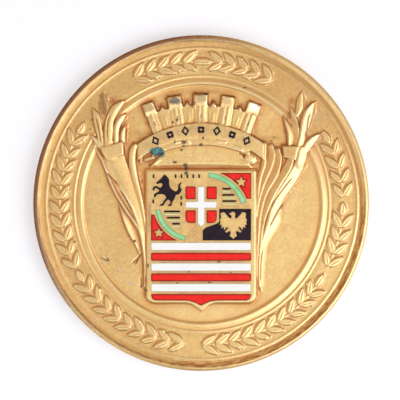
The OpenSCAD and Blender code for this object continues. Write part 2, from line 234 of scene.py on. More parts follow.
# %% [markdown]
# ## The turned mouldings
#
# The mouldings are round because the die was turned on a lathe before it was engraved.
# A profile could be spun into a mesh of its own, but then the relief would have to be
# joined to it. On the grid, the profile is just a height for each radius: a short table,
# joined by an eased curve.

# %% Mouldings
field_height = 2.7
ring_height = 2.85
strike_offset = (0.11, -0.12)  # the dies' centre, beside the disc's
edge_from, edge_w = 29.3, 0.7  # where the profile turns to follow the disc's edge
moulding = np.array([
    [0.0, 2.72], [18.0, 2.70], [20.9, 2.70], [21.1, 2.715], [21.3, 2.82], [21.47, 2.93],
    [21.6, 2.97], [21.8, 2.95], [22.1, 2.875], [22.4, 2.80], [22.55, 2.785],
    [22.68, 2.83], [22.82, 2.885], [22.97, 2.85], [23.15, 2.82], [23.5, 2.835],
    [24.0, 2.85], [27.0, 2.85], [27.55, 2.87], [27.78, 2.93], [27.92, 2.94],
    [28.05, 2.87], [28.15, 2.83], [28.3, 2.84], [28.6, 2.88], [28.9, 2.97], [29.1, 3.07],
    [29.25, 3.17], [29.38, 3.22], [29.5, 3.2], [29.75, 3.1], [29.9, 3.02], [30.0, 2.93],
    [31.5, 2.93]])


def eased_curve(at, table):
    """A smooth curve through the table's rows that never overshoots them."""
    where, value = table.T
    slope = np.diff(value) / np.diff(where)
    both = slope[:-1] * slope[1:]
    total = slope[:-1] + slope[1:]
    middle = np.where(both > 0, 2 * both / np.where(total == 0, 1, total), 0)
    tangent = np.concatenate([[slope[0]], middle, [slope[-1]]])
    i = np.clip(np.searchsorted(where, at) - 1, 0, len(where) - 2)
    width = where[i + 1] - where[i]
    t = (at - where[i]) / width
    return ((1 + 2 * t) * (1 - t) ** 2 * value[i] + t * (1 - t) ** 2 * width * tangent[i]
            + t * t * (3 - 2 * t) * value[i + 1] - t * t * (1 - t) * width * tangent[i + 1])


struck_radius = np.hypot(X - strike_offset[0], Y - strike_offset[1])
at_edge = np.clip((radius - edge_from) / edge_w, 0, 1)
height = eased_curve(struck_radius + at_edge * (radius - struck_radius), moulding)
print("face between", height.min().round(2), "and", height.max().round(2), "mm")

# %% [markdown]
# ## Leaves and folds
#
# A leaf, a fold of a leaf or a stem is a ribbon: a smooth line through a few rows, each
# with its place, half its width and the height of its crest. A bevelled curve would be
# round, like a wire. Here the height rises from one edge to the crest and falls to the
# other edge, and moving the crest to one side tilts the surface. That is what makes one
# flank of a fold catch the light and the other lie in shade. Outside its edges a ribbon
# falls steeply, as the draft of a die does.

# %% Ribbons
low_relief = 0.65            # struck height of one millimetre in the tables
steep = 4.0                  # fall of a ribbon's sides, mm per mm
foot_reach = 0.6             # the sides reach the ground within this


def smooth_rows(rows, steps):
    """Catmull-Rom curve through the rows of a table, in every column."""
    rows = np.array(rows, float)
    padded = np.vstack([2 * rows[0] - rows[1], rows, 2 * rows[-1] - rows[-2]])
    made = []
    for a, b, c, d in zip(padded, padded[1:], padded[2:], padded[3:]):
        for t in np.arange(steps) / steps:
            made.append(0.5 * (2 * b + (c - a) * t + (2 * a - 5 * b + 4 * c - d) * t * t
                               + (3 * b - a - 3 * c + d) * t ** 3))
    return np.array(made + [rows[-1]])


def lay_over(part, laid, away):
    """Lays a shape whose outline is where away is 0, with steep sides."""
    lay(height, part, laid - steep * np.maximum(away, 0))


def lay_ribbon(rows, drop=(0.4, 0.4), crest=0.0, sharp=0.4, steps=10):
    """Lays a ribbon on the face. Its rows are x, y, half width and crest height, drop is
    the fall to its right and left edges as seen along it, and crest from -1 to 1 is
    where across it the crest runs."""
    line = smooth_rows(rows, steps)
    line[:, 3] = field_height + (line[:, 3] - field_height) * low_relief
    right_drop, left_drop = np.array(drop) * low_relief
    spare = line[:, 2].max() + foot_reach
    part = around(line[:, :2].min(0), line[:, :2].max(0), spare)
    x, y = X[part], Y[part]
    over = np.full(x.shape, FAR)
    across, peak = np.zeros(x.shape), np.zeros(x.shape)
    for a, b in zip(line, line[1:]):
        gap, along = from_segment(x, y, a, b)
        half = np.maximum(a[2] + along * (b[2] - a[2]), 0.02)
        closer = gap - half < over
        over = np.where(closer, gap - half, over)
        side = np.sign((b[0] - a[0]) * (y - a[1]) - (b[1] - a[1]) * (x - a[0]))
        across = np.where(closer, side * gap / half, across)
        peak = np.where(closer, a[3] + along * (b[3] - a[3]), peak)
    across = np.clip(across, -1, 1)
    on_right = across < crest
    rise = np.where(on_right, (across + 1) / (crest + 1), (1 - across) / (1 - crest))
    rise = sharp * rise + (1 - sharp) * np.sin(rise * math.pi / 2)
    fall = np.where(on_right, right_drop, left_drop) * (1 - rise)
    lay_over(part, peak - fall, over)


def fine_line(rows, width):
    """A part of the grid and, there, 1 on the line through the rows x, y. It fades away
    over the width, and at both ends."""
    line = smooth_rows(rows, 8)
    part = around(line.min(0), line.max(0), 0.5)
    cut = np.zeros(X[part].shape)
    for i, (a, b) in enumerate(zip(line, line[1:])):
        gap, along = from_segment(X[part], Y[part], a, b)
        t = (i + along) / (len(line) - 1)
        cut = np.maximum(cut, np.exp(-(gap / width) ** 2) * np.clip(6 * t * (1 - t), 0.2, 1))
    return part, cut


def engrave(rows, depth=0.06, width=0.1, darkness=0.7):
    """Cuts a fine line through the rows and darkens it: a real dark mark in a scratch,
    painted shade in a vein's crease.
    """
    part, cut = fine_line(rows, width)
    height[part] -= depth * cut
    lay(grime, part, darkness * cut)


def paint_highlight_line(rows, width=0.16, share=1.0):
    """Paints a highlight along the rows, as a bright line."""
    part, highlight_line = fine_line(rows, width)
    lay(painted_highlight, part, share * highlight_line)


print("a ribbon's side falls 1 mm in", 1 / steep, "mm")

# %% [markdown]
# ## The two sheaves
#
# On each side of the shield a bundle of long leaves is tied below its tips. One sheaf
# could be mirrored for the other, but the engraver cut them apart: the left one is mostly
# one broad leaf with a rolled edge, and the right one is a row of folds. So each has its
# own table. The light comes from the lower right, so on the right sheaf the flanks that
# face outwards are almost white and the flanks that face the shield are brown.

# %% The left sheaf
left_sheaf = [
    # broad leaf between its rolled edge and the shield
    ([[-15.9, 9.3, 1.9, 3.62], [-15.4, 7.2, 2.0, 3.6], [-14.1, 4.2, 1.75, 3.56],
      [-12.7, 1.0, 1.5, 3.5], [-11.4, -2.2, 1.05, 3.42], [-10.55, -6.0, 0.65, 3.36],
      [-10.15, -10.0, 0.4, 3.3], [-10.1, -14.8, 0.2, 3.2]], (0.7, 0.3), -0.1, 0.1),
    # leaf that lies outside it and falls away to the right
    ([[-14.6, -0.4, 0.06, 3.3], [-13.55, -2.6, 0.5, 3.42], [-12.5, -5.0, 0.6, 3.36],
      [-11.45, -7.3, 0.4, 3.26], [-10.7, -9.6, 0.1, 3.1]], (0.1, 0.5), -0.7, 0.5),
    # rolled edge
    ([[-19.2, 10.35, 0.08, 3.25], [-18.1, 8.5, 0.15, 3.34], [-17.4, 6.95, 0.17, 3.36],
      [-15.9, 3.1, 0.18, 3.38], [-14.8, 1.0, 0.18, 3.42], [-13.1, -1.7, 0.2, 3.46],
      [-11.9, -3.4, 0.2, 3.52], [-10.8, -5.6, 0.2, 3.46], [-10.1, -10.5, 0.18, 3.36],
      [-10.2, -14.9, 0.12, 3.1]], (0.08, 0.08), 0.0, 0.3),
    # second fold, along the rolled edge
    ([[-15.0, 3.9, 0.1, 3.58], [-13.55, 1.5, 0.3, 3.64], [-12.1, -1.0, 0.32, 3.6],
      [-10.9, -4.4, 0.22, 3.5], [-10.3, -7.5, 0.05, 3.36]], (0.1, 0.28), -0.5, 0.4),
    # leaf that curls over beside the crown
    ([[-11.75, 10.3, 0.35, 3.62], [-12.2, 9.2, 0.58, 3.68], [-12.3, 7.4, 0.6, 3.68],
      [-12.0, 5.4, 0.55, 3.64], [-11.35, 2.8, 0.45, 3.58], [-10.6, -0.2, 0.34, 3.5],
      [-10.05, -3.6, 0.16, 3.4], [-9.9, -5.6, 0.05, 3.3]], (0.12, 0.17), -0.2, 0.1),
    ([[-11.3, 10.35, 0.22, 3.58], [-10.75, 9.8, 0.24, 3.6], [-10.6, 8.6, 0.2, 3.56],
      [-10.8, 7.2, 0.14, 3.46]], (0.3, 0.25), 0.0, 0.1),
    # tips
    ([[-17.15, 14.6, 0.7, 3.2], [-17.15, 16.4, 0.86, 3.28], [-17.35, 18.0, 0.66, 3.26],
      [-17.5, 20.0, 0.04, 3.12]], (0.14, 0.16), -0.2, 0.6),
    ([[-17.75, 10.2, 0.4, 3.5], [-18.1, 12.2, 0.52, 3.52], [-18.45, 14.1, 0.66, 3.5],
      [-18.75, 15.6, 0.6, 3.48], [-19.5, 16.9, 0.05, 3.36]], (0.14, 0.1), -0.1, 0.5),
    ([[-16.6, 10.6, 0.72, 3.74], [-16.5, 13.3, 0.76, 3.82], [-16.2, 15.1, 0.72, 3.84],
      [-15.4, 16.7, 0.72, 3.82], [-14.4, 17.7, 0.42, 3.74], [-13.6, 18.3, 0.05, 3.6]],
     (0.17, 0.08), 0.1, 0.1),
    ([[-15.1, 11.2, 0.45, 3.7], [-15.1, 13.0, 0.48, 3.8], [-14.75, 14.3, 0.52, 3.82],
      [-14.05, 15.3, 0.4, 3.76], [-13.4, 15.85, 0.05, 3.6]], (0.34, 0.1), 0.3, 0.3),
    ([[-13.95, 11.2, 0.42, 3.66], [-13.9, 12.6, 0.38, 3.74], [-13.45, 13.9, 0.05, 3.5]],
     (0.3, 0.1), 0.3, 0.2),
    ([[-17.3, 9.6, 0.5, 3.5], [-18.5, 10.9, 0.46, 3.5], [-19.8, 12.2, 0.05, 3.3]],
     (0.1, 0.2), -0.3, 0.4)]
left_veins = [
    [[-17.35, 6.1], [-16.6, 5.1], [-15.8, 4.3], [-15.1, 3.5], [-14.5, 2.8]],
    [[-14.6, 2.6], [-13.8, 1.3], [-12.9, -0.3], [-12.2, -1.7]],
    [[-18.9, 15.6], [-18.45, 13.8], [-18.1, 12.0], [-17.8, 10.4]],
    [[-16.1, 16.2], [-16.65, 14.6], [-16.8, 12.8], [-16.7, 11.0]]]
left_edges = [
    [[-19.3, 10.4], [-18.2, 8.6], [-17.5, 7.0], [-16.0, 3.2], [-14.9, 1.1], [-13.2, -1.6],
     [-12.0, -3.3], [-10.9, -5.5]],
    [[-15.0, 3.6], [-13.6, 1.4], [-12.2, -1.0], [-11.0, -4.3]],
    [[-19.9, 12.3], [-18.6, 11.1], [-17.4, 9.9]]]

for rows, drop, crest, sharp in left_sheaf:
    lay_ribbon(rows, drop, crest, sharp)
# the veins' creases get painted shade
for rows in left_veins:
    engrave(rows, 0.08, 0.13, 1.0)
# The left sheaf's edges get painted highlights: bright lines along the rolled edge, the
# second fold and the leaf by the tie.
for rows in left_edges:
    paint_highlight_line(rows)
print("left sheaf:", len(left_sheaf), "leaves and folds")

# %% [markdown]
# The right sheaf is laid in the same way: the inner folds, the broad outer leaf, the fold
# between them, and the tips. As all are laid with a maximum, their order doesn't matter.

# %% The right sheaf
right_sheaf = [
    # inner folds, which rise slowly from the shield's side and then drop
    ([[11.4, 10.6, 0.35, 3.5], [11.2, 7.1, 0.42, 3.54], [10.45, 4.4, 0.36, 3.5],
      [9.95, 0.5, 0.26, 3.44], [9.75, -3.1, 0.1, 3.36]], (0.32, 0.3), 0.5, 0.4),
    ([[12.5, 10.1, 0.5, 3.58], [12.65, 8.6, 0.66, 3.64], [12.1, 6.4, 0.68, 3.64],
      [10.95, 3.6, 0.58, 3.58], [10.1, 0.5, 0.42, 3.5], [9.85, -2.4, 0.2, 3.42]],
     (0.5, 0.4), 0.72, 0.7),
    ([[13.7, 9.4, 0.5, 3.62], [13.8, 7.7, 0.7, 3.7], [13.05, 5.2, 0.78, 3.7],
      [11.3, 1.9, 0.66, 3.64], [10.4, -1.6, 0.5, 3.56], [10.1, -5.2, 0.36, 3.48],
      [9.95, -9.4, 0.22, 3.4], [9.85, -15.2, 0.12, 3.2]], (0.55, 0.4), 0.75, 0.7),
    # broad outer leaf, which falls away to the outside
    ([[18.0, 8.0, 0.85, 3.78], [17.45, 6.6, 0.95, 3.78], [16.0, 4.2, 1.0, 3.76],
      [13.95, 1.0, 0.88, 3.7], [13.25, -1.0, 0.94, 3.64], [12.85, -3.2, 1.1, 3.58],
      [12.1, -5.1, 0.9, 3.5], [11.45, -6.8, 0.72, 3.42], [11.05, -9.0, 0.66, 3.36],
      [10.9, -11.8, 0.6, 3.3], [10.85, -14.4, 0.45, 3.2], [10.8, -15.7, 0.15, 3.0]],
     (0.3, 0.8), -0.75, 0.25),
    # fold between the inner folds and the outer leaf
    ([[16.0, 7.6, 0.62, 3.72], [15.3, 6.0, 0.72, 3.78], [13.65, 3.4, 0.72, 3.76],
      [12.15, 0.4, 0.6, 3.7], [11.05, -3.0, 0.5, 3.6], [10.5, -6.6, 0.38, 3.5],
      [10.25, -11.3, 0.24, 3.4], [10.3, -15.0, 0.1, 3.2]], (0.5, 0.35), 0.7, 0.7),
    # tips
    ([[16.95, 10.5, 0.5, 3.5], [16.85, 13.4, 0.62, 3.6], [16.35, 15.7, 0.46, 3.56],
      [15.8, 17.5, 0.05, 3.35]], (0.1, 0.4), -0.75, 0.7),
    ([[15.9, 10.7, 0.45, 3.62], [15.85, 12.6, 0.5, 3.66], [15.35, 14.2, 0.42, 3.62],
      [14.7, 15.75, 0.05, 3.45]], (0.4, 0.12), 0.3, 0.5),
    ([[17.15, 15.7, 0.35, 3.36], [17.6, 17.2, 0.66, 3.44], [17.75, 18.6, 0.55, 3.42],
      [18.1, 20.1, 0.04, 3.28]], (0.14, 0.1), 0.0, 0.5),
    ([[17.7, 10.2, 0.55, 3.78], [18.15, 12.1, 0.62, 3.86], [18.65, 14.4, 0.84, 3.9],
      [19.2, 16.1, 0.76, 3.86], [19.9, 17.4, 0.4, 3.78], [20.5, 18.05, 0.04, 3.6]],
     (0.5, 0.12), 0.6, 0.3),
    ([[18.4, 9.0, 0.5, 3.74], [19.2, 10.4, 0.66, 3.8], [20.3, 11.55, 0.5, 3.76],
      [21.6, 12.4, 0.04, 3.5]], (0.45, 0.1), 0.6, 0.3)]
right_veins = [
    [[17.0, 5.3], [15.6, 3.75], [14.2, 2.0], [13.1, 0.4], [12.2, -1.6]],
    [[14.9, 0.2], [13.9, -1.2], [12.8, -3.1], [12.0, -4.6]],
    [[19.6, 16.4], [19.1, 15.0], [18.9, 13.2], [18.4, 11.4]],
    [[11.2, -7.2], [10.75, -10.0], [10.65, -12.6], [10.75, -14.8]]]

for rows, drop, crest, sharp in right_sheaf:
    lay_ribbon(rows, drop, crest, sharp)
# the veins' creases get painted shade
for rows in right_veins:
    engrave(rows, 0.09, 0.16, 1.0)
print("right sheaf:", len(right_sheaf), "leaves and folds")

# %% [markdown]
# ## The ties
#
# Each sheaf is tied by a flat band and a small bright knot beside it. A bevelled box
# could stand for a band, but the metal round it would not run up to it. So a band is a
# block with rounded edges, laid on the grid by the distance from its outline.

# %% The ties
def smoothstep(low, high, value):
    """0 below low, 1 above high, and an S curve between them."""
    t = np.clip((value - low) / (high - low), 0, 1)
    return t * t * (3 - 2 * t)


def lay_block(outline, top, edge=0.15, round_by=0.12, tilt=(0, 0)):
    """Lays a flat block with a rounded edge that is `edge` wide and falls by round_by.
    Its top is a height, and tilt adds a slope in x and y about the block's middle."""
    loop = np.array(outline, float)
    middle = loop.mean(0)
    part = around(loop.min(0), loop.max(0), foot_reach)
    x, y = X[part], Y[part]
    away = signed_distance([loop], x, y)
    laid = (top + tilt[0] * (x - middle[0]) + tilt[1] * (y - middle[1])
            - round_by * smoothstep(-edge, 0, away))
    lay_over(part, field_height + (laid - field_height) * low_relief, away)


left_tie = [[-17.5, 9.95], [-13.95, 11.05], [-13.8, 8.6], [-16.3, 7.65]]
right_tie = [[14.55, 10.2], [17.45, 10.1], [16.85, 7.6], [14.75, 8.2]]
lay_block(left_tie, 3.84, 0.14, 0.12, (0.02, 0.03))
lay_block(right_tie, 3.78, 0.14, 0.1, (0.1, 0.02))
lay_ribbon([[-17.55, 9.75, 0.4, 3.78], [-17.0, 8.9, 0.5, 3.82], [-16.5, 7.9, 0.36, 3.76]],
           (0.2, 0.2), 0.0, 0.0)
lay_ribbon([[18.15, 9.3, 0.8, 3.9], [17.95, 8.2, 0.85, 3.88], [17.6, 6.9, 0.7, 3.84]],
           (0.1, 0.6), -0.6, 0.2)
print("highest relief so far:", height.max().round(2), "mm")

# %% [markdown]
# ## The mural crown
#
# Five towers stand on the arc of a circlet, with a swallow-tailed wall between each two.
# They could be boxes that are turned in place, but the fluting of a tower and the slots
# of a wall are finer than a box. So each is a formula in an upright frame of its own,
# where u runs across it and v is the distance from the point that all towers radiate
# from.

# %% The crown's upright frames
tower_centre = -9.5          # y of the point that the towers radiate from
crown_part = around((-13, 5.5), (13, 20.2))
cx, cy = X[crown_part], Y[crown_part]
darkness = np.zeros(cx.shape)    # dark lines in the crown: painted shade in slits, grooves and seams and above edges


def upright(angle):
    """u and v of the crown's grid points for a tower that leans by angle degrees."""
    a = math.radians(angle)
    up = cy - tower_centre
    return cx * math.cos(a) - up * math.sin(a), cx * math.sin(a) + up * math.cos(a)


def box_distance(u, v, u0, v0, u1, v1):
    """Distance outside a box, and minus the depth inside it."""
    du = np.maximum(u0 - u, u - u1)
    dv = np.maximum(v0 - v, v - v1)
    outside = np.hypot(np.maximum(du, 0), np.maximum(dv, 0))
    return outside + np.minimum(np.maximum(du, dv), 0)


def line_at(value, width):
    """1 on the line where value is 0, fading away over the width."""
    return np.exp(-(value / width) ** 2)


def between(low, high, soft, value):
    """1 from low to high, with an S curve that is soft wide inside each end."""
    return smoothstep(low, low + soft, value) - smoothstep(high - soft, high, value)


print("grid points of the crown:", cx.size)

# %% [markdown]
# ### The walls
#
# A wall ends in a small gable between two notches. On its face stands a panel that
# widens upwards, with a dark line round it and a raised bar in its middle. A boolean
# would cut the panel as sharp as a saw does. A formula can fade every edge over a tenth
# of a millimetre, as struck metal has it.

# %% The walls
wall_angles = [-14.7, -5.2, 4.7, 14.7]
wall_height = 3.15
wall_half_w = 1.7
wall_foot = 22.2
notch_v, gable_rise, gable_half_w = 26.95, 0.75, 0.55
panel_foot, panel_top = 22.9, 26.6
panel_half_w, panel_flare = 0.62, 0.1

for angle in wall_angles:
    u, v = upright(angle)
    gable = notch_v + gable_rise * np.maximum(1 - np.abs(u) / gable_half_w, 0)
    away = np.maximum(v - gable, np.maximum(np.abs(u) - wall_half_w, wall_foot - v))
    past_panel = np.abs(u) - panel_half_w - panel_flare * (v - panel_foot)
    on_panel = smoothstep(0.1, -0.1, past_panel)
    sides = (line_at(past_panel, 0.09) * smoothstep(panel_top, panel_top - 0.4, v)
             * smoothstep(panel_foot, panel_foot + 0.2, v))
    sill = line_at(v - panel_foot - 0.05, 0.09) * on_panel
    bar = between(24.0, 26.0, 0.4, v) * line_at(u - 0.1, 0.14)
    lay_over(crown_part, wall_height + 0.05 * (on_panel + bar), away)
    # a dark line is painted round the panel and along its sill
    darkness = np.maximum(darkness, 0.55 * np.maximum(sides, sill))
print("walls:", len(wall_angles))

# %% [markdown]
# ### The towers
#
# A tower is a fluted shaft with a thicker block on top. A flute could be a row of thin
# cylinders; a cosine across the shaft gives the same ribs, and the same cosine tells where
# they get a painted highlight and where painted shade lies between them. The slit in each
# shaft is painted dark as shade, and so is a line above each block. The blocks lean a little
# to the right, which is why one of them catches the light.

# %% The towers
tower_angles = [-19.3, -9.7, -0.2, 9.8, 19.5]
tower_height = 3.45
shaft_half_w = [0.86, 1.08, 1.12, 1.08, 1.0]
shaft_top, block_foot, tower_top = 27.0, 26.8, 28.9
shaft_drop, shaft_round = 0.14, 0.09
rib_rise, rib_rate = 0.03, 7.5          # a rib's height, and radians of its wave in a mm
slit_foot, slit_top, slit_w = 24.65, 25.55, 0.12
block_half_w = [1.0, 1.2, 1.2, 1.15, 1.15]
block_lean = [0.02, 0.01, 0.02, 0.05, 0.11]   # fall of each block's top to the right
ledge_w = 0.7

for tower, angle in enumerate(tower_angles):
    u, v = upright(angle)
    half_w = shaft_half_w[tower]
    shaft = box_distance(u, v, -half_w, wall_foot, half_w, shaft_top)
    slit = between(slit_foot, slit_top, 0.15, v) * line_at(u, slit_w)
    ribs = np.cos(rib_rate * u + tower) * smoothstep(23.0, 24.0, v)
    lay_over(crown_part, tower_height - shaft_drop - shaft_round * (u / half_w) ** 2
             + rib_rise * (ribs - slit), shaft)
    on_shaft = smoothstep(0.05, -0.1, shaft)
    # painted shade in the slit and between the ribs, painted highlight on the ribs
    darkness = np.maximum(darkness, slit)
    darkness = np.maximum(darkness, 0.4 * on_shaft * smoothstep(0.55, 1.0, -ribs))
    lay(painted_highlight, crown_part, 0.7 * on_shaft * smoothstep(0.5, 1.0, ribs))
    half_w = block_half_w[tower]
    block = box_distance(u, v, -half_w, block_foot, half_w, tower_top)
    ledge = smoothstep(block_foot, block_foot + ledge_w, v)
    lay_over(crown_part, tower_height - shaft_drop * (1 - ledge)
             - block_lean[tower] * (u + half_w), block)
    # painted shade in a line just above the block's top
    over_block = line_at(v - tower_top - 0.12, 0.12)
    darkness = np.maximum(darkness, 0.9 * over_block * smoothstep(0.1, -0.1, np.abs(u) - half_w))
print("towers:", len(tower_angles))

# %% [markdown]
# ### The circlet
#
# Below the towers runs a plain band that carries the enamel marks, then a narrower rim
# with a few raised dashes, and under it the smooth inside of the crown. Their edges are
# arcs with different centres, because the crown is seen from a little below. Curves
# could be filled to make them, but the distance from an arc is one line of numpy.

# %% The circlet
band_height = 3.4
band_centre, band_r = -4.67, 18.96       # its upper edge
band_reach = 11.3
hem_centre, hem_r = -6.23, 17.9          # where the marked band ends
edge_drop, edge_round = 0.03, 0.14
rim_centre, rim_r = -9.64, 20.0          # where the rim below it ends
rim_reach = 8.7
inside_height, inside_drop = 3.2, 0.12
inside_foot, inside_deep = 6.95, 3.4
inside_reach, inside_slant = 8.6, 0.9
seam_w, seam_depth = 0.12, 0.05

upper = np.hypot(cx, cy - band_centre) - band_r
hem = hem_r - np.hypot(cx, cy - hem_centre)
inner_rim = rim_r - np.hypot(cx, cy - rim_centre)
side = np.abs(cx)

band = np.maximum(np.maximum(upper, hem), side - band_reach)
lay_over(crown_part, band_height - edge_drop * smoothstep(-edge_round, 0, band), band)
rim = np.maximum(np.maximum(upper, inner_rim), side - rim_reach)
lay_over(crown_part, band_height - edge_drop, rim)

lip = inside_foot - 0.003 * cx ** 2
slanted_ends = side - inside_reach + inside_slant * (cy - 7.0)
inside = np.maximum(np.maximum(-inner_rim, 0.2 * (lip - cy)), slanted_ends)
depth = np.clip((rim_r + rim_centre - cy) / inside_deep, 0, 1)
lay_over(crown_part, inside_height - inside_drop * depth, inside)
seam = line_at(inner_rim, seam_w) * smoothstep(inside_reach, inside_reach - 0.6, side)
height[crown_part] -= seam_depth * seam
# painted shade: a dark line in the seam under the rim, and another above the band's upper
# edge
darkness = np.maximum(darkness, 0.5 * seam)
over_band = line_at(upper, 0.1) * smoothstep(band_reach, band_reach - 0.5, side)
darkness = np.maximum(darkness, 0.6 * over_band)
lay(grime, crown_part, darkness)
print("circlet:", 2 * band_reach, "mm wide")

# %% [markdown]
# ### Dashes and turned ends
#
# The rim carries a few raised dashes, and the ends of the circlet turn under. They are
# the small things that were cut last into the die, with ribbons, a block and a cut.

# %% Dashes and turned ends
dashes = [(-4.5, 10.75, -3.5, 10.95), (-2.4, 11.3, -2.1, 10.6), (2.7, 11.05, 4.4, 10.85),
          (6.3, 10.1, 7.2, 9.5)]
dash_half_w, dash_height = 0.14, 3.88
for x0, y0, x1, y1 in dashes:
    lay_ribbon([[x0, y0, dash_half_w, dash_height], [x1, y1, dash_half_w, dash_height]],
               (0.08, 0.08), 0.0, 0.2)
    # a painted highlight along each dash
    paint_highlight_line([[x0, y0], [x1, y1]], share=0.7)
right_end = [[7.75, 8.3], [8.2, 8.8], [9.0, 8.95], [9.9, 8.3], [10.0, 7.5], [9.4, 7.0],
             [8.6, 7.0], [8.0, 7.5]]
lay_block(right_end, 3.7, 0.55, 0.28, (-0.06, 0.05))
engrave([[7.3, 8.9], [8.1, 9.2], [9.1, 9.2], [10.1, 8.5]], 0.06, 0.12, 0.5)
lay_ribbon([[-8.9, 6.5, 0.12, 3.4], [-7.4, 7.7, 0.16, 3.5]], (0.1, 0.1), 0.0, 0.3)
lay_ribbon([[-9.8, 7.7, 0.28, 3.5], [-8.5, 8.1, 0.28, 3.56]], (0.25, 0.1), -0.4, 0.3)
print("dashes:", len(dashes))

# %% [markdown]
# ## The shield plate
#
# The plate that carries the enamel is flat, because it is stoned flush with the glass.
# Its sides are drafted, and its foot has a small point. The packed model has this plate
# too, but a separate solid here would leave a hard crease where its side meets the
# field, and struck metal flows there.

# %% The shield plate
plate_height = 3.3
plate_half_w, plate_top, plate_base, plate_point = 9.65, 5.72, -17.75, -19.1
point_half_w = 1.9
plate_corner = 1.7


def rounded_loop(corners, steps=5):
    """A closed outline whose rows are x, y and the length that its corner is rounded by."""
    corners = np.array(corners, float)
    made = []
    for a, b, c in zip(np.roll(corners, 1, axis=0), corners, np.roll(corners, -1, axis=0)):
        way_in = (a[:2] - b[:2]) / np.linalg.norm(a[:2] - b[:2])
        way_out = (c[:2] - b[:2]) / np.linalg.norm(c[:2] - b[:2])
        for t in np.linspace(0, 1, steps + 1 if b[2] else 1):
            made.append((1 - t) ** 2 * (b[:2] + way_in * b[2]) + 2 * t * (1 - t) * b[:2]
                        + t * t * (b[:2] + way_out * b[2]))
    return np.array(made)


plate_loop = rounded_loop([
    [-plate_half_w, plate_top, 0.05], [-plate_half_w, plate_base, plate_corner],
    [-point_half_w, plate_base, 1.15], [0, plate_point, 0], [point_half_w, plate_base, 1.15],
    [plate_half_w, plate_base, plate_corner], [plate_half_w, plate_top, 0.05]])
plate_part = around(plate_loop.min(0), plate_loop.max(0), 1.0)
plate_away = signed_distance([plate_loop], X[plate_part], Y[plate_part])
draft_w, foot_draft_w = 0.62, 0.35       # width of the sides, and of the foot's
at_foot = smoothstep(-16.8, -17.8, Y[plate_part])
draft = draft_w + (foot_draft_w - draft_w) * at_foot
side = plate_height - (plate_height - field_height + 0.02) * smoothstep(
    -0.06, draft, plate_away)
height[plate_part] = np.where(plate_away < 0, side, np.maximum(height[plate_part], side))
print("shield plate:", 2 * plate_half_w, "by", plate_top - plate_base, "mm")

# %% [markdown]
# ## The garland
#
# The ring carries a garland of laurel: sprigs of paired leaves with berries between
# them, climbing from the foot of the medal to its top on both sides. One leaf could be
# modelled and instanced along the ring, but its copies would only stand on the metal.
# On the grid each leaf is a pointed oval with a sunk midrib, and each berry a small dome.

# %% The garland
garland_r = 25.3
garland_spans = [[2, 26], [60, 58.5], [148, 59.5], [211, 52], [270, 56.7], [333, 24.5]]
leaf_length, leaf_half_w, leaf_rise = 3.0, 0.62, 0.27
leaf_turn = 33.0             # between a leaf and the stem
leaf_step = 5.6              # degrees of the ring between two pairs
stem_half_w, stem_rise = 0.12, 0.22
berry_r, berry_rise = 0.3, 0.27
berry_side = 1.5             # from the stem, mm


def lay_leaf(x, y, heading, length, half_w, rise):
    """One laurel leaf that starts at x, y and points along heading, in degrees."""
    c, s = math.cos(math.radians(heading)), math.sin(math.radians(heading))
    tip = np.array([x + c * length, y + s * length])
    base = np.array([x, y])
    part = around(np.minimum(base, tip), np.maximum(base, tip), 0.8)
    u = ((X[part] - x) * c + (Y[part] - y) * s) / length
    v = (Y[part] - y) * c - (X[part] - x) * s
    along = np.clip(u, 0, 1)
    half = half_w * np.sin(math.pi * along ** 0.8) ** 0.75 + 0.03
    away = np.hypot(np.maximum(np.abs(v) - half, 0), np.maximum(np.abs(u - 0.5) - 0.5, 0)
                    * length)
    swell = np.sqrt(np.clip(1 - (v / half) ** 2, 0, 1))
    midrib = 0.07 * line_at(v, 0.1)
    lay(height, part, ring_height + rise * (0.4 + 0.6 * swell) - midrib - 1.6 * away)


def lay_berry(x, y, r, rise):
    """One berry, as a low dome."""
    part = around((x, y), (x, y), 2 * r)
    gap = np.hypot(X[part] - x, Y[part] - y) / r
    dome = rise * np.sqrt(np.clip(1 - gap ** 2, 0, 1))
    lay(height, part, ring_height + dome - 2 * np.maximum(gap - 1, 0))


def ring_point(angle, r=garland_r):
    """The point of the ring at an angle in degrees."""
    return r * math.cos(math.radians(angle)), r * math.sin(math.radians(angle))


def lay_sprig(start, end):
    """A sprig that grows along the ring from start to end, both in degrees."""
    way = 1 if end > start else -1
    count = int(abs(end - start) / leaf_step)
    step = (end - start) / (count + 0.45)
    stem = np.linspace(start, end - 0.4 * step, 40)
    lay_ribbon([[*ring_point(a), stem_half_w, ring_height + stem_rise] for a in stem],
               (0.1, 0.1), 0, 0, 1)
    for k in range(count):
        angle = start + (k + 0.1) * step
        forward = angle + 90 * way
        for side in (-1, 1):
            turn = -way * side * leaf_turn
            size = 0.92 + 0.16 * rng.random()
            lay_leaf(*ring_point(angle, garland_r + 0.08 * side),
                     forward + turn + 6 * (rng.random() - 0.5),
                     leaf_length * size, leaf_half_w * size, leaf_rise)
            if (k + (side > 0)) % 2:
                berry_at = ring_point(angle + 0.62 * step, garland_r + berry_side * side)
                lay_berry(*berry_at, berry_r, berry_rise)
    lay_leaf(*ring_point(end - 0.5 * step), end + 90 * way, leaf_length * 0.85, leaf_half_w,
             leaf_rise)


for first, extent in garland_spans:
    last = first + extent
    if first < 90 < last:
        lay_sprig(first, 88.6)
        lay_sprig(last, 90.4)
    elif 90 < (first + last) / 2 < 270:
        lay_sprig(last, first)
    else:
        lay_sprig(first, last)
print("garland sprigs:", len(garland_spans) + 1)
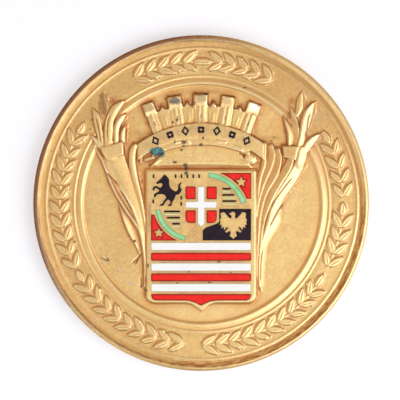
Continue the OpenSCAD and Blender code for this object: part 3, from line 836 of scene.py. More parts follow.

# %% [markdown]
# ## Age on the metal
#
# Three dents in the lower left of the field are real hollows, and dark scratches cross them.
# The struck surface also isn't optically flat, so it gets very shallow patches. A bump
# texture could do that, but the true heights also give the masks that the gilding's material
# reads: `hollow` and `crest` are narrow, for the darker colour at the foot of walls and in
# narrow hollows and for a painted highlight on the ridges, the mask of the folds is for a
# painted orange shade in them, and `patina` and `worn` are broad, for the browner ground
# beside high relief and for the rubbed tops of it.

# %% Dents and masks
dents = [(-17.3, -9.95, 0.8, 0.4, 0.03), (-11.6, -10.1, 0.7, 0.5, 0.03),
         (-14.8, -12.2, 0.4, 0.3, 0.02)]
for x0, y0, size_x, size_y, deep in dents:
    part = around((x0, y0), (x0, y0), np.array([3 * size_x, 3 * size_y]))
    gap = np.hypot((X[part] - x0) / size_x, (Y[part] - y0) / size_y)
    spread = 1.6 * gap ** 2
    height[part] += deep * (spread - 1) * np.exp(-spread)
scratches = [
    ([[-18.3, -9.6], [-17.5, -9.95], [-17.0, -10.25], [-16.5, -10.4]], 0.15),
    ([[-17.1, -9.6], [-16.75, -9.9], [-16.6, -10.2], [-16.45, -10.5]], 0.15),
    ([[-12.5, -11.0], [-11.95, -10.45], [-11.4, -9.9], [-10.9, -9.4], [-10.5, -9.0]], 0.2),
    ([[-11.9, -11.0], [-11.6, -10.7], [-11.35, -10.1], [-11.3, -9.6]], 0.16),
    ([[-10.8, -13.0], [-10.75, -14.2], [-10.7, -15.3]], 0.14)]
for rows, width in scratches:
    engrave(rows, 0.05, width, 1.0)

height += 0.006 * patchy(1.1) + 0.008 * patchy(2.7)
on_plate = plate_away < -0.15            # stoned flat again after striking
height[plate_part] = np.where(on_plate, plate_height, height[plate_part])
height = np.minimum(height, top_of_relief - 0.004)

near = blurred(height, 0.22) - height
hollow = np.clip(near / 0.1, 0, 1)
# crest: the narrow ridges plus the painted highlight lines, which the gilding turns pale as
# a painted highlight
crest = np.clip(-near / 0.1, 0, 1) + 1.4 * painted_highlight
# folds and nooks, for a painted orange shade in them
nook = np.clip((blurred(height, 0.5) - height - 0.005) / 0.08, 0, 1)
broad = blurred(height, 0.9) - height
patina = np.clip((broad - 0.03) / 0.22, 0, 1)
worn = np.clip((-0.02 - broad) / 0.2, 0, 1)
print("masks: hollow up to", hollow.max().round(2), "worn up to", worn.max().round(2))

# %% [markdown]
# ## Cutting the face
#
# A grid alone would leave stair steps round the rim and the enamel cells. Booleans could
# trim it, but they are slow on so many faces and leave slivers. So the grid is
# triangulated, points that lie almost on an outline are moved onto it, and the triangles
# that still cross an outline are cut along it. The same function makes the tops of the
# enamel fills, so metal and glass meet along one true line.

# %% Cutting a grid along an outline
def grid_triangles(n, m):
    """The triangles of an n by m grid, with diagonals that take turns."""
    row, column = np.arange(n - 1)[:, None], np.arange(m - 1)[None, :]
    a = row * m + column
    b, c, d = a + m, a + m + 1, a + 1
    even = ((row + column) % 2 == 0)[..., None]
    first = np.where(even, np.stack([a, b, c], -1), np.stack([a, b, d], -1))
    second = np.where(even, np.stack([a, c, d], -1), np.stack([b, c, d], -1))
    return np.concatenate([first.reshape(-1, 3), second.reshape(-1, 3)])


def columns(*parts):
    """Rows of points or faces from one array for each column."""
    return np.stack(parts, 1)


def snapped_grid(xs, ys, away, snap=0.28):
    """The grid's points and their values of away(x, y). Points that are nearer to its 0
    than a share of the grid's pitch are moved onto it."""
    gx, gy = np.meshgrid(xs, ys, indexing="ij")
    field = away(gx, gy)
    slopes = [slope.ravel() for slope in np.gradient(field, xs, ys)]
    value = field.ravel().copy()
    steepness = slopes[0] ** 2 + slopes[1] ** 2
    close = (np.abs(value) < snap * (xs[1] - xs[0])) & (steepness > 0.5)
    spots = columns(gx.ravel(), gy.ravel())
    shift = value[close] / steepness[close]
    spots[close] -= columns(shift * slopes[0][close], shift * slopes[1][close])
    value[close] = 0
    return spots, value


def cut_grid(xs, ys, away):
    """Triangles over a grid, cut where the function away(x, y) is 0. Gives the points,
    the triangles where it is positive, and those where it is negative."""
    spots, value = snapped_grid(xs, ys, away)
    faces = grid_triangles(len(xs), len(ys))
    sign = np.sign(value)[faces]
    crossed = (sign.max(1) > 0) & (sign.min(1) < 0)
    whole, of_whole = faces[~crossed], sign[~crossed].sum(1)
    plus, minus = [whole[of_whole > 0]], [whole[of_whole < 0]]
    faces, sign = faces[crossed], sign[crossed]

    # Turn every crossed triangle so that its corner on the line, or its odd one, is first
    on_line = (sign == 0).any(1)
    odd_sign = np.where(on_line, 0, -np.sign(sign.sum(1)))
    odd = np.argmax(sign == odd_sign[:, None], axis=1)
    order = (odd[:, None] + np.arange(3)) % 3
    p, q, r = np.take_along_axis(faces, order, 1).T
    sign = np.take_along_axis(sign, order, 1)

    # One new point on each edge that is cut
    cuts = np.concatenate([columns(q, r)[on_line], columns(p, q)[~on_line],
                           columns(p, r)[~on_line]])
    keys, place = np.unique(np.sort(cuts, 1), axis=0, return_inverse=True)
    place = place.ravel() + len(spots)
    start, end = keys.T
    share = value[start] / (value[start] - value[end])
    spots = np.concatenate([spots, spots[start]
                            + share[:, None] * (spots[end] - spots[start])])

    # A triangle with a corner on the line makes two, and any other makes three
    first_cut, cut_q, cut_r = np.split(place, np.cumsum([on_line.sum(), (~on_line).sum()]))
    near = columns(p[on_line], q[on_line], first_cut)
    far = columns(p[on_line], first_cut, r[on_line])
    rises = sign[on_line][:, 1] > 0
    plus += [near[rises], far[~rises]]
    minus += [far[rises], near[~rises]]
    p, q, r = p[~on_line], q[~on_line], r[~on_line]
    tip = columns(p, cut_q, cut_r)
    rest = np.concatenate([columns(cut_q, q, r), columns(cut_q, r, cut_r)])
    tip_up = sign[~on_line][:, 0] > 0
    plus += [tip[tip_up], rest[np.tile(~tip_up, 2)]]
    minus += [tip[~tip_up], rest[np.tile(tip_up, 2)]]
    return spots, np.concatenate(plus), np.concatenate(minus)


trial = np.linspace(-1.2, 1.2, 25)
spots, disc, outside = cut_grid(trial, trial, lambda x, y: 1 - np.hypot(x, y))
print("a trial disc:", len(disc), "triangles inside,", len(outside), "outside")

# %% [markdown]
# ## From numbers to meshes
#
# The rest of the mesh work needs a few small tools: the open edge of a patch of faces, a
# grid field read at any point, walls below an edge, a mesh without loose points, and the
# mesh object. Blender's operators could do most of it, but arrays are faster here, and
# nothing depends on what is selected.

# %% From numbers to meshes
def edge_of(faces):
    """The edges that only one of the triangles has, in that triangle's direction."""
    edges = np.concatenate([faces[:, [0, 1]], faces[:, [1, 2]], faces[:, [2, 0]]])
    big = edges.max() + 1
    there, back = edges[:, 0] * big + edges[:, 1], edges[:, 1] * big + edges[:, 0]
    return edges[~np.isin(there, back)]


def sampled(field, x, y):
    """A grid field at any points, straight between the grid's points."""
    fx, fy = (x - reach[0]) / pitch, (y - reach[0]) / pitch
    ix, iy = (np.clip(f.astype(int), 0, len(reach) - 2) for f in (fx, fy))
    tx, ty = fx - ix, fy - iy
    return ((1 - tx) * (1 - ty) * field[ix, iy] + tx * (1 - ty) * field[ix + 1, iy]
            + (1 - tx) * ty * field[ix, iy + 1] + tx * ty * field[ix + 1, iy + 1])


def walls_below(edge, drop):
    """Walls under a patch's edge, down to points that are numbered drop higher."""
    start, end = edge.T
    return np.concatenate([columns(end, start, start + drop),
                           columns(end, start + drop, end + drop)])


def used_only(places, faces):
    """The same mesh without the points that no face uses."""
    used = np.unique(faces)
    again = np.zeros(len(places), int)
    again[used] = np.arange(len(used))
    return places[used], again[faces]


def mesh_piece(name, points, faces):
    """A mesh object in metres from points in millimetres and triangles."""
    mesh = bpy.data.meshes.new(name)
    mesh.from_pydata((points * MM).tolist(), [], faces.tolist())
    mesh.validate()
    mesh.update()
    mesh.shade_smooth()
    piece = bpy.data.objects.new(name, mesh)
    bpy.context.scene.collection.objects.link(piece)
    return piece


print("the trial disc has", len(edge_of(disc)), "open edges")

# %% [markdown]
# ## The body of the medal
#
# The body is one piece of metal. A displaced plane could show its face, but it would have
# no cells, no side and no back. Here metal is what lies inside the rim and outside every
# cell. The cells get walls and a floor at the depth that the fills have in the packed
# model. The rim's outline is then carried down the side, round the bevel and across the
# flat back, so the body is one closed solid.

# %% The body
cell_gap = 0.02              # between a fill and the wall of its cell
cell_dirt, dirt_w = 0.4, 0.1
shield_reach = 20.0          # all cells lie within this of the middle
rim_inside = 25.0            # and the disc's own outline lies outside this
fill_boxes = {name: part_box(name) for name in fills}
cell_floor = {name: low[2] / MM for name, (low, high) in fill_boxes.items()}

cells_away = np.full(X.shape, 5.0)
floor = np.zeros(X.shape)
for name, loops in fills.items():
    every = np.concatenate(loops)
    part = around(every.min(0), every.max(0), 0.6)
    away = signed_distance(loops, X[part], Y[part]) - cell_gap
    nearer = away < cells_away[part]
    cells_away[part] = np.where(nearer, away, cells_away[part])
    floor[part] = np.where(nearer, cell_floor[name], floor[part])

cell_line = cell_dirt * line_at(np.maximum(cells_away, 0), dirt_w)
grime = np.maximum(grime, cell_line * (cells_away < 1))

face_away = np.minimum(medal_r - radius, cells_away)
points, face, other = cut_grid(reach, reach, lambda x, y: face_away)
middle = points[other].mean(1)
cell_faces = other[np.hypot(*middle.T) < shield_reach]
side_profile = [[medal_r, 1.9], [medal_r, 0.35], [medal_r - 0.1, 0.1], [medal_r - 0.35, 0.0],
                [medal_r - 4, 0.0], [medal_r / 2, 0.0]]


def body_solid():
    """The points and triangles of the closed body."""
    count = len(points)
    top = np.column_stack([points, sampled(height, *points.T)])
    under = np.column_stack([points, floor_at(points)])
    edge = edge_of(face)
    outer = np.hypot(*points[edge[:, 0]].T) > rim_inside
    places = [top, under]
    solid = [face, cell_faces + count, walls_below(edge[~outer], count)]
    ring = edge[outer][:, 0]
    ring = ring[np.argsort(np.arctan2(points[ring, 1], points[ring, 0]))]
    outwards = points[ring] / np.hypot(*points[ring].T)[:, None]
    after = np.roll(np.arange(len(ring)), -1)
    above, base = ring, 2 * count
    for r, z in side_profile:
        places.append(np.column_stack([outwards * r, np.full(len(ring), z)]))
        below = base + np.arange(len(ring))
        solid += [columns(above, below, below[after]),
                  columns(above, below[after], above[after])]
        above, base = below, base + len(ring)
    places.append(np.zeros((1, 3)))
    solid.append(columns(above, np.full(len(ring), base), above[after]))
    return np.concatenate(places), np.concatenate(solid)


def floor_at(where):
    """The floor of the cell that a point belongs to."""
    nearest = np.round((where - reach[0]) / pitch).astype(int)
    deep = floor[tuple(np.clip(nearest, 0, len(reach) - 1).T)]
    return np.where(deep > 0, deep, min(cell_floor.values()))


body_points, body_faces = used_only(*body_solid())
print("body before decimation:", len(body_faces), "triangles")

# %% [markdown]
# ## Fewer triangles
#
# Most of the face is nearly flat and needs no small triangles. A coarser grid would blur
# the leaves, so a decimation takes triangles out where nothing bends.

# %% Fewer triangles
body_budget = 192000
body = mesh_piece("medal_metal", body_points, body_faces)
thinner = body.modifiers.new("thinner", "DECIMATE")
thinner.ratio = min(1, body_budget / len(body_faces))
bpy.context.view_layer.update()
shaped = body.evaluated_get(bpy.context.evaluated_depsgraph_get())
thin_mesh = bpy.data.meshes.new_from_object(shaped)
body.modifiers.clear()
body.data = thin_mesh
print("body:", len(thin_mesh.polygons), "triangles")

# %% [markdown]
# ## Normals of the body
#
# Faces that are a tenth of a millimetre wide would still shade as facets. Smooth shading
# alone would also round the walls of the cells. The height map knows the true slope
# everywhere, so every corner of the face gets its normal from the slope. The side points
# straight out, the back straight down, and the cell walls keep the normals of their faces.

# %% Normals of the body
face_above = 2.5             # every part of the face is higher than this
upright_below = 0.12         # z of a normal, under which a face counts as a wall
slope_x, slope_y = np.gradient(height, reach, reach)


def mesh_numbers(items, attribute, width, kind=np.float32):
    """One attribute of all of a mesh's items as an array."""
    flat = np.empty(len(items) * width, kind)
    items.foreach_get(attribute, flat)
    return flat.reshape(-1, width) if width > 1 else flat


def struck_normals(mesh):
    """Sets the corner normals of a struck face from the slope of the height map."""
    place = mesh_numbers(mesh.vertices, "co", 3) / MM
    corner_point = mesh_numbers(mesh.loops, "vertex_index", 1, np.int32)
    flat = mesh_numbers(mesh.polygons, "normal", 3)
    middle = mesh_numbers(mesh.polygons, "center", 3) / MM
    x, y, z = place[corner_point].T
    zero = np.zeros(len(x))
    on_face = (flat[:, 2] > upright_below) & (middle[:, 2] > face_above)
    in_cell = sampled(cells_away, middle[:, 0], middle[:, 1]) < -0.02
    side = (np.abs(flat[:, 2]) < upright_below) & (np.hypot(*middle[:, :2].T) > medal_r - 1)
    back = middle[:, 2] < 0.01
    normal = np.repeat(flat, 3, axis=0)
    for faces, wanted in [
            (on_face & ~in_cell, columns(-sampled(slope_x, x, y), -sampled(slope_y, x, y),
                                         zero + 1)),
            (side, columns(x, y, zero)),
            (back, columns(zero, zero, zero - 1))]:
        corners = np.repeat(faces, 3)
        length = np.maximum(np.linalg.norm(wanted, axis=1), 1e-6)
        normal[corners] = (wanted / length[:, None])[corners]
    mesh.normals_split_custom_set(normal.tolist())


def point_mask(mesh, name, values):
    """Stores one number for each point of a mesh, for its material to read."""
    mesh.attributes.new(name, "FLOAT", "POINT").data.foreach_set(
        "value", np.asarray(values, np.float32))


struck_normals(thin_mesh)
x, y, z = mesh_numbers(thin_mesh.vertices, "co", 3).T / MM
masks = [("hollow", hollow, 0.2), ("patina", patina, 0.3), ("crest", crest, 0),
         ("worn", worn, 0), ("nook", nook, 0), ("grime", grime, 0)]
for name, field, elsewhere in masks:
    point_mask(thin_mesh, name, np.where(z > face_above, sampled(field, x, y), elsewhere))
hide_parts("medal_body")
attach(body, "root")
print("masks on the body:", ", ".join(name for name, field, elsewhere in masks))

# %% [markdown]
# ## The enamel fills
#
# A fired fill shrinks a little and pulls up at the walls of its cell. After stoning its
# middle is flush and its edge is rounded over, and that narrow roll catches a line of
# light. A bevel modifier would stumble over the small horns of the figures. So each fill
# is cut from a fine grid and lowered near its wall. It is a closed solid in the place of
# its plain one, and knows for each point how far the wall is.

# %% The enamel fills
fill_roll = 0.16             # width of the rounded edge
fill_sink = 0.035            # how far the edge lies below the middle
fill_wave = 0.006            # of the stoned surface, up and down
small_fill = 1.6             # fills that are narrower get the fine grid
fine_grid, plain_grid = ((0.06, 0.11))


def fill_solid(name):
    """A fill as a closed solid with a rounded upper edge."""
    loops = fills[name]
    low, high = (np.array(corner) / MM for corner in fill_boxes[name])
    size = fine_grid if (high - low)[:2].min() < small_fill else plain_grid
    xs, ys = (np.arange(low[i] - 1.5 * size, high[i] + 2 * size, size) for i in (0, 1))
    spots, outside, faces = cut_grid(xs, ys, lambda x, y: signed_distance(loops, x, y))
    spots, faces = used_only(spots, faces)
    depth = np.maximum(-signed_distance(loops, *spots.T), 0)
    roll = 1 - np.sqrt(1 - (1 - np.clip(depth / fill_roll, 0, 1)) ** 2 * 0.98)
    wave = np.sin(1.7 * spots[:, 0] + 1.1 * spots[:, 1]) * np.clip(depth, 0, 1)
    top = high[2] - fill_wave - fill_sink * roll + fill_wave * wave
    count = len(spots)
    points = np.concatenate([np.column_stack([spots, top]),
                             np.column_stack([spots, np.full(count, low[2])])])
    faces = np.concatenate([faces, faces[:, ::-1] + count,
                            walls_below(edge_of(faces), count)])
    piece = mesh_piece(name + "_glass", points, faces)
    piece.data.set_sharp_from_angle(angle=math.radians(50))
    point_mask(piece.data, "wall_gap", np.tile(depth, 2))
    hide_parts(name)
    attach(piece, "root")
    return piece


slots = {row["node"]: row["material_slot"] for row in frame["record"]["subparts"]}
glass = {name: fill_solid(name) for name in fills}
print("glass:", len(glass), "fills,", sum(len(p.data.polygons) for p in glass.values()),
      "triangles")

# %% [markdown]
# ## Shader maths
#
# A material could be linked socket by socket, but it is easier to read as an expression.
# A Wire holds one output socket. Adding, multiplying or comparing wires makes Math nodes,
# colours are mixed and places are moved by nodes of their own, and `node` makes any
# other node.

# %% Wires
class Wire:
    """An output socket that Python's operators work on."""

    def __init__(self, socket):
        self.socket = socket
        self.tree = socket.id_data

    def node(self, kind, settings=None, sockets=None, output=0):
        """A new node in the same tree: its settings first, then its sockets."""
        made = self.tree.nodes.new(kind)
        for name, value in (settings or {}).items():
            setattr(made, name, value)
        for name, value in (sockets or {}).items():
            if isinstance(value, Wire):
                self.tree.links.new(value.socket, made.inputs[name])
            else:
                made.inputs[name].default_value = value
        return Wire(made.outputs[output])

    def maths(self, operation, first, second=0.0):
        return self.node("ShaderNodeMath", {"operation": operation}, {0: first, 1: second})

    def __add__(self, other):
        return self.maths("ADD", self, other)

    def __sub__(self, other):
        return self.maths("SUBTRACT", self, other)

    def __rsub__(self, other):
        return self.maths("SUBTRACT", other, self)

    def __mul__(self, other):
        return self.maths("MULTIPLY", self, other)

    __radd__ = __add__
    __rmul__ = __mul__

    def at_least(self, other):
        return self.maths("MAXIMUM", self, other)

    def step(self, low, high):
        """0 at low and 1 at high, with a soft passage between."""
        return self.node("ShaderNodeMapRange", {"interpolation_type": "SMOOTHSTEP"},
                         {"Value": self, "From Min": low, "From Max": high})

    def noise(self, size, detail=3.0, rough=0.55):
        """Cloudy noise over a place, about 0 to 1, with patches of a size in mm."""
        return self.node("ShaderNodeTexNoise", {"noise_dimensions": "3D"},
                         {"Vector": self, "Scale": 1 / size, "Detail": detail,
                          "Roughness": rough})

    def blend(self, first, second):
        """The first colour where this mask is 0, and the second where it is 1."""
        return self.node("ShaderNodeMix", {"data_type": "RGBA"},
                         {0: self, 6: first, 7: second}, output=2)

    def tint(self, mask, colour):
        """This colour blended towards another by a mask."""
        return mask.blend(self, colour)

    def vector(self, operation, other=(0, 0, 0), output=0):
        """This place and another one through a Vector Math node."""
        return self.node("ShaderNodeVectorMath", {"operation": operation},
                         {0: self, 1: other}, output)

    def length(self):
        return self.vector("LENGTH", output=1)

    def stretch(self, x, y, z):
        """This place scaled along the three axes."""
        return self.vector("MULTIPLY", (x, y, z))


def finish_of(name):
    """A new material, its shader node and the place on the object in mm."""
    material = bpy.data.materials.new(name)
    material.use_nodes = True
    shader = material.node_tree.nodes["Principled BSDF"]
    spot = material.node_tree.nodes.new("ShaderNodeTexCoord").outputs["Object"]
    return material, shader, Wire(spot).stretch(1 / MM, 1 / MM, 1 / MM)


def feed(shader, name, wire):
    """Links a wire to a shader's socket."""
    wire.tree.links.new(wire.socket, shader.inputs[name])


def mask_of(place, name):
    """A mask that is stored on the mesh."""
    return place.node("ShaderNodeAttribute", {"attribute_name": name}, output=2)


print("what a wire can do:", [name for name in vars(Wire) if not name.startswith("_")])

# %% [markdown]
# ## Gilding
#
# Fire gilding is a matt gold skin over bronze, here under a clear lacquer. It is paler on
# the rubbed tops and browner in the hollows, and it carries painted highlights on crests and
# round the rim and painted shade in folds and round the rim. A painted image could hold all
# that, but it would blur close by. So the masks from the relief say where, and noise of
# several sizes keeps it from looking computed. A lathe and the polisher's cloth leave lines
# round the rim, which is noise in a space that is wound up: nearly still along the rim, and
# quick across it and down its side.

# %% Masks and noise
gilding, shader, place = finish_of("gilding")
(hollow_mask, patina_mask, crest_highlight_mask, worn_mask, fold_shade_mask,
 dirt_and_shade_mask) = (mask_of(place, name) for name, field, elsewhere in masks)
up = place.node("ShaderNodeSeparateXYZ", {}, {0: place}, output=2)
from_middle = place.stretch(1, 1, 0).length()
way_out = place.stretch(1, 1, 0).vector("NORMALIZE")
on_face = up.step(1.9, face_above)
on_ring = from_middle.step(22.4, 23.2) * on_face

clouds = place.noise(5.0, 4.0)
hues = place.noise(1.3, 3.0, 0.6)
mottle = place.noise(0.6, 4.0, 0.65)
streaks = place.noise(0.32, 3.0, 0.7)
crust = place.noise(0.28, 3.0, 0.6).step(0.42, 0.6)
grain = place.noise(0.14, 2.0, 0.6)
pits = place.noise(0.35, 2.0).step(0.68, 0.76)

along_rim, across_rim = 7.0, 3.5
outward = from_middle.node("ShaderNodeCombineXYZ", {}, {2: (from_middle - up) * across_rim})
turned = outward.vector("ADD", way_out.stretch(along_rim, along_rim, 0))
lines = turned.noise(1.0, 3.0, 0.65)
fine_lines = turned.noise(0.45, 4.0, 0.7)
print("masks on the mesh:", len(masks))

# %% [markdown]
# ### Layers of colour
#
# The gilding is built as a painter would tone it, in layers from the clean gold to the
# last speck. One large formula could hold them, but a list can be read: each layer has
# its mask, how much of its colour it gives, the colour, and how much of the lacquer is
# gone under it. The first layers are patches of thinner and thicker gold.

# %% Clean gold
clean_gold = (clouds * 0.5 + mottle * 0.5).step(0.3, 0.72).blend(
    (0.76, 0.48, 0.165, 1), (0.89, 0.64, 0.265, 1))
layers = [
    (hues.step(0.5, 0.66), 0.4, (0.83, 0.64, 0.20), 0),        # yellower
    (hues.step(0.48, 0.34), 0.35, (0.82, 0.49, 0.24), 0),      # redder
    (streaks.step(0.5, 0.32), 0.42, (0.60, 0.35, 0.13), 0),    # thin gold
    (streaks.step(0.52, 0.68), 0.4, (0.99, 0.77, 0.38), 0)]    # thick gold
print("layers of clean gold:", len(layers))

# %% [markdown]
# ### The ring and the rim
#
# The ring is browner than the field, and it has painted light and shade: browner at the
# upper right, lighter at the lower right and at the top. The rim has been handled and
# knocked, and its gilding is worn in lines. Over them it has painted shade, brown at the
# upper left and orange-brown streaks at the lower right, and painted highlights at the upper
# right and lower left. So each layer needs a band of radius and a direction from the middle.

# %% The ring and the rim
def towards(turn):
    """1 in the direction of turn, in degrees, and -1 in the opposite direction."""
    a = math.radians(turn)
    return way_out.vector("DOT_PRODUCT", (math.cos(a), math.sin(a), 0), output=1)


def facing(turn, low, high):
    """1 near the direction of turn and 0 away from it, between two cosines."""
    return towards(turn).step(low, high)


def circle_band(rises, full, falls, ends):
    """1 between two circles about the middle, with a soft passage at each."""
    return from_middle.step(rises, full) * from_middle.step(ends, falls)


# browner mottled ring, with painted light and shade by direction: browner at the upper
# right, lighter at the lower right and the top
ring_tone_and_shade = on_ring * ((mottle - 0.5) * 1.8 + 0.45 + facing(50, 0.5, 1.0) * 0.2
                       - facing(-50, 0.35, 1.0) * 0.38 - facing(90, 0.9, 1.0) * 0.3)
ring_gleam = on_ring * place.noise(0.9, 4.0, 0.7).step(0.5, 0.66)
# worn lines on the rim, and painted shade that dims its highlight at the upper left
rim_wear_and_shade = from_middle.step(28.2, 28.6) * (
    0.1 + fine_lines.step(0.44, 0.6) * 0.5 + facing(150, 0.2, 0.9) * 0.3)
rim_glint = circle_band(28.7, 28.85, 29.05, 29.2) * facing(155, 0.1, 0.6)
rim_shade = (from_middle.step(28.1, 28.5) * facing(145, 0.4, 0.95)
             * (0.5 + fine_lines.step(0.42, 0.6) * 0.35) * (1 - rim_glint * 0.9))
# painted shade on the rim's inner slope at the lower right, in orange-brown streaks
streaked_rim_shade = (circle_band(28.15, 28.4, 29.3, 29.6) * on_face * facing(-50, 0.2, 0.85)
        * fine_lines.step(0.44, 0.54))
upper_right = facing(42, 0.6, 0.95)
# painted highlight on the rim's outer part at the upper right
rim_highlight = from_middle.step(28.8, 29.0) * upper_right
# painted warm highlight on the rim's crest at the lower left, in streaks
rim_warm_highlight = (from_middle.step(29.0, 29.4) * facing(228, 0.2, 0.85) * on_face
              * (0.5 + fine_lines.step(0.6, 0.44) * 0.5))
# feet of the two mouldings, which get a painted shade at the upper right
shaded_moulding_feet = circle_band(28.1, 28.25, 28.5, 28.75).at_least(
    circle_band(21.7, 21.95, 22.45, 22.7))
layers += [
    (ring_tone_and_shade, 1, (0.62, 0.335, 0.09), 0),
    (ring_gleam, 0.3, (0.93, 0.66, 0.32), 0),
    (rim_wear_and_shade, 1, (0.55, 0.28, 0.08), 0.9),
    (rim_shade, 1, (0.38, 0.25, 0.08), 1),
    (streaked_rim_shade, 0.8, (0.44, 0.15, 0.04), 1),
    (rim_highlight, 0.85, (1.0, 0.70, 0.30), 0.6),
    (rim_warm_highlight, 0.85, (1.0, 0.66, 0.24), 0.8),
    (shaded_moulding_feet * upper_right * on_face, 0.45, (0.40, 0.20, 0.07), 0)]
print("layers with the ring and rim:", len(layers))

# %% [markdown]
# ### Stains and painted patches
#
# A stain has a place of its own, and so has a patch of painted highlight and shade. It could
# be painted by hand, but a few numbers are enough: where it is, how far it reaches in x and
# y, how ragged its outline is and how soft. The distance from its place is shaken by noise
# and turned into a mask.

# %% Stains and painted patches
def spot_mask(x, y, size_x, size_y, ragged=0.5, soft=0.3):
    """A patch round one point of the face, for a stain, a painted highlight and painted
    shade alike. It fades with depth, so that it doesn't show on the back."""
    wobble = place.noise(0.7, 4.0) - 0.5
    apart = place.vector("SUBTRACT", (x, y, top_of_relief))
    away = apart.stretch(1 / size_x, 1 / size_y, 0.7).length()
    return (away + wobble * ragged * 3).step(0.9 + soft, 0.9 - soft)


def any_of(spots, ragged=0.45, soft=0.3):
    """One mask for a list of patches, each with its x, y and half its size in x and y."""
    whole, *others = [spot_mask(*spot, ragged, soft) for spot in spots]
    for mask in others:
        whole = whole.at_least(mask)
    return whole


def tower_spot(angle, up, size_x, size_y):
    """A patch at a height on the line that a tower or wall stands on."""
    a = math.radians(angle)
    return up * math.sin(a), tower_centre + up * math.cos(a), size_x, size_y


def spot_layers(rows):
    """Layers from rows of stains and painted patches: their places, raggedness, softness,
    share of the colour, colour and share of the lacquer that is gone."""
    return [(any_of(spots, ragged, soft), share, colour, bared)
            for spots, ragged, soft, share, colour, bared in rows]


# warm orange patches: stains, and painted shade in the field between the sheaves, the shield
# and the crown
warm_shade_and_stains = [(13.2, 13.2, 2.2, 2.4), (-12.2, 13.4, 1.2, 1.8), (10.9, 4.4, 1.0, 4.6),
               (11.8, 7.2, 1.6, 2.4), (13.4, 6.6, 1.4, 2.6), (15.8, 8.9, 1.2, 1.0),
               (-10.9, 3.5, 0.9, 3.2)]
browned = [(-9.25, -2.1, 0.35, 3.0), (0.5, 19.9, 5.0, 0.4), (-9.6, 18.5, 1.2, 0.5),
           (-11.2, 12.4, 1.3, 0.5), (-15.6, 18.4, 0.9, 0.7), (12.6, 11.7, 1.7, 0.5),
           (-10.8, 11.6, 0.8, 0.35), (-9.3, 12.5, 0.9, 0.35)]
dark_tip = [(-17.4, 17.8, 1.0, 2.5)]
leaf_marks = [(16.2, 18.2, 0.7, 0.8), (15.6, 15.7, 0.5, 1.2), (18.8, 17.5, 0.6, 0.7)]
grey_patches = [(19.3, 19.2, 0.8, 0.6), (21.0, 15.4, 1.0, 1.3)]
# painted highlights on the right sheaf's outer leaf, its knot and two tips, which face the
# light
sheaf_highlights = [(17.7, 8.1, 0.9, 1.3), (19.1, 14.8, 0.9, 2.3), (20.3, 11.4, 1.2, 1.0),
             (16.6, 5.2, 1.2, 1.4), (15.0, 2.4, 1.2, 1.6), (13.6, -0.8, 1.1, 2.0),
             (12.6, -4.0, 1.0, 2.0)]
over_gables = [tower_spot(angle, 27.7, 0.9, 0.7) for angle in wall_angles]
# the two long strips at the shield's top are red toning and painted shade in the groove
# under the crown; the other two are red stains
reddened = [(-15.7, 18.2, 0.8, 0.5), (-3.5, 6.2, 4.6, 0.3), (3.5, 6.3, 3.0, 0.2),
            (-9.9, -14.0, 0.3, 1.0)]
# stains, with painted light and shade among them: the warm patches are partly painted shade,
# and the right sheaf's pale patches are painted highlights
stains_and_painted_patches = [
    (warm_shade_and_stains, 0.8, 0.8, 0.5, (0.80, 0.40, 0.10), 0),
    (browned, 0.6, 0.7, 0.55, (0.46, 0.19, 0.06), 0.5),
    (dark_tip, 0.5, 0.4, 0.75, (0.34, 0.15, 0.055), 0.8),
    (leaf_marks, 0.35, 0.6, 0.75, (0.46, 0.16, 0.05), 0.7),
    (grey_patches, 0.8, 0.8, 0.4, (0.52, 0.40, 0.30), 0),
    (sheaf_highlights, 0.8, 0.8, 0.5, (0.74, 0.60, 0.40), 0.7),
    (over_gables, 0.6, 0.5, 0.8, (0.42, 0.13, 0.045), 0.7),
    (reddened, 0.5, 0.3, 0.55, (0.52, 0.10, 0.03), 0.6)]
print("old stains:", sum(len(row[0]) for row in stains_and_painted_patches))

# %% [markdown]
# ### Wear, toning and painted light and shade
#
# High places are rubbed yellow, folds get a painted orange shade, and the ground beside high
# relief is brown. Ambient occlusion could give such masks, but it is slow and can't be
# exported with the piece, so they come from the height map. The broad layers come first,
# then the old stains and the painted patches of light and shade, and last the painted shade
# at the rim's edge, the darker hollows, the painted highlight on crests, the dark lines and
# the pits.

# %% Wear, toning and painted light and shade
# below the shield's foot the painted shade of folds and hollows is weaker, and a painted
# highlight lightens it, as the foot's slope faces the light
under_shield = spot_mask(0, -19.2, 8.5, 2.2, 0.1, 0.5)
between_bars = spot_mask(0.1, -12.2, 9.3, 5.2, 0, 0.05)
# darker brown in narrow hollows and at the foot of walls
hollow_darkening = (hollow_mask + (mottle - 0.5) * 0.5).step(0.2, 0.95)
# painted shade on the rim's outer edge at the upper left, which faces away from the light;
# the red flecks lie in it
edge_shade = ((from_middle + lines * 0.6).step(29.25, 29.55)
             * (towards(153) + mottle * 0.9).step(0.35, 1.25)
             * (0.6 + streaks * 0.6) * (0.7 + on_face * 0.3))
red_flecks = place.noise(0.5, 2.0).step(0.56, 0.62) * edge_shade * on_face
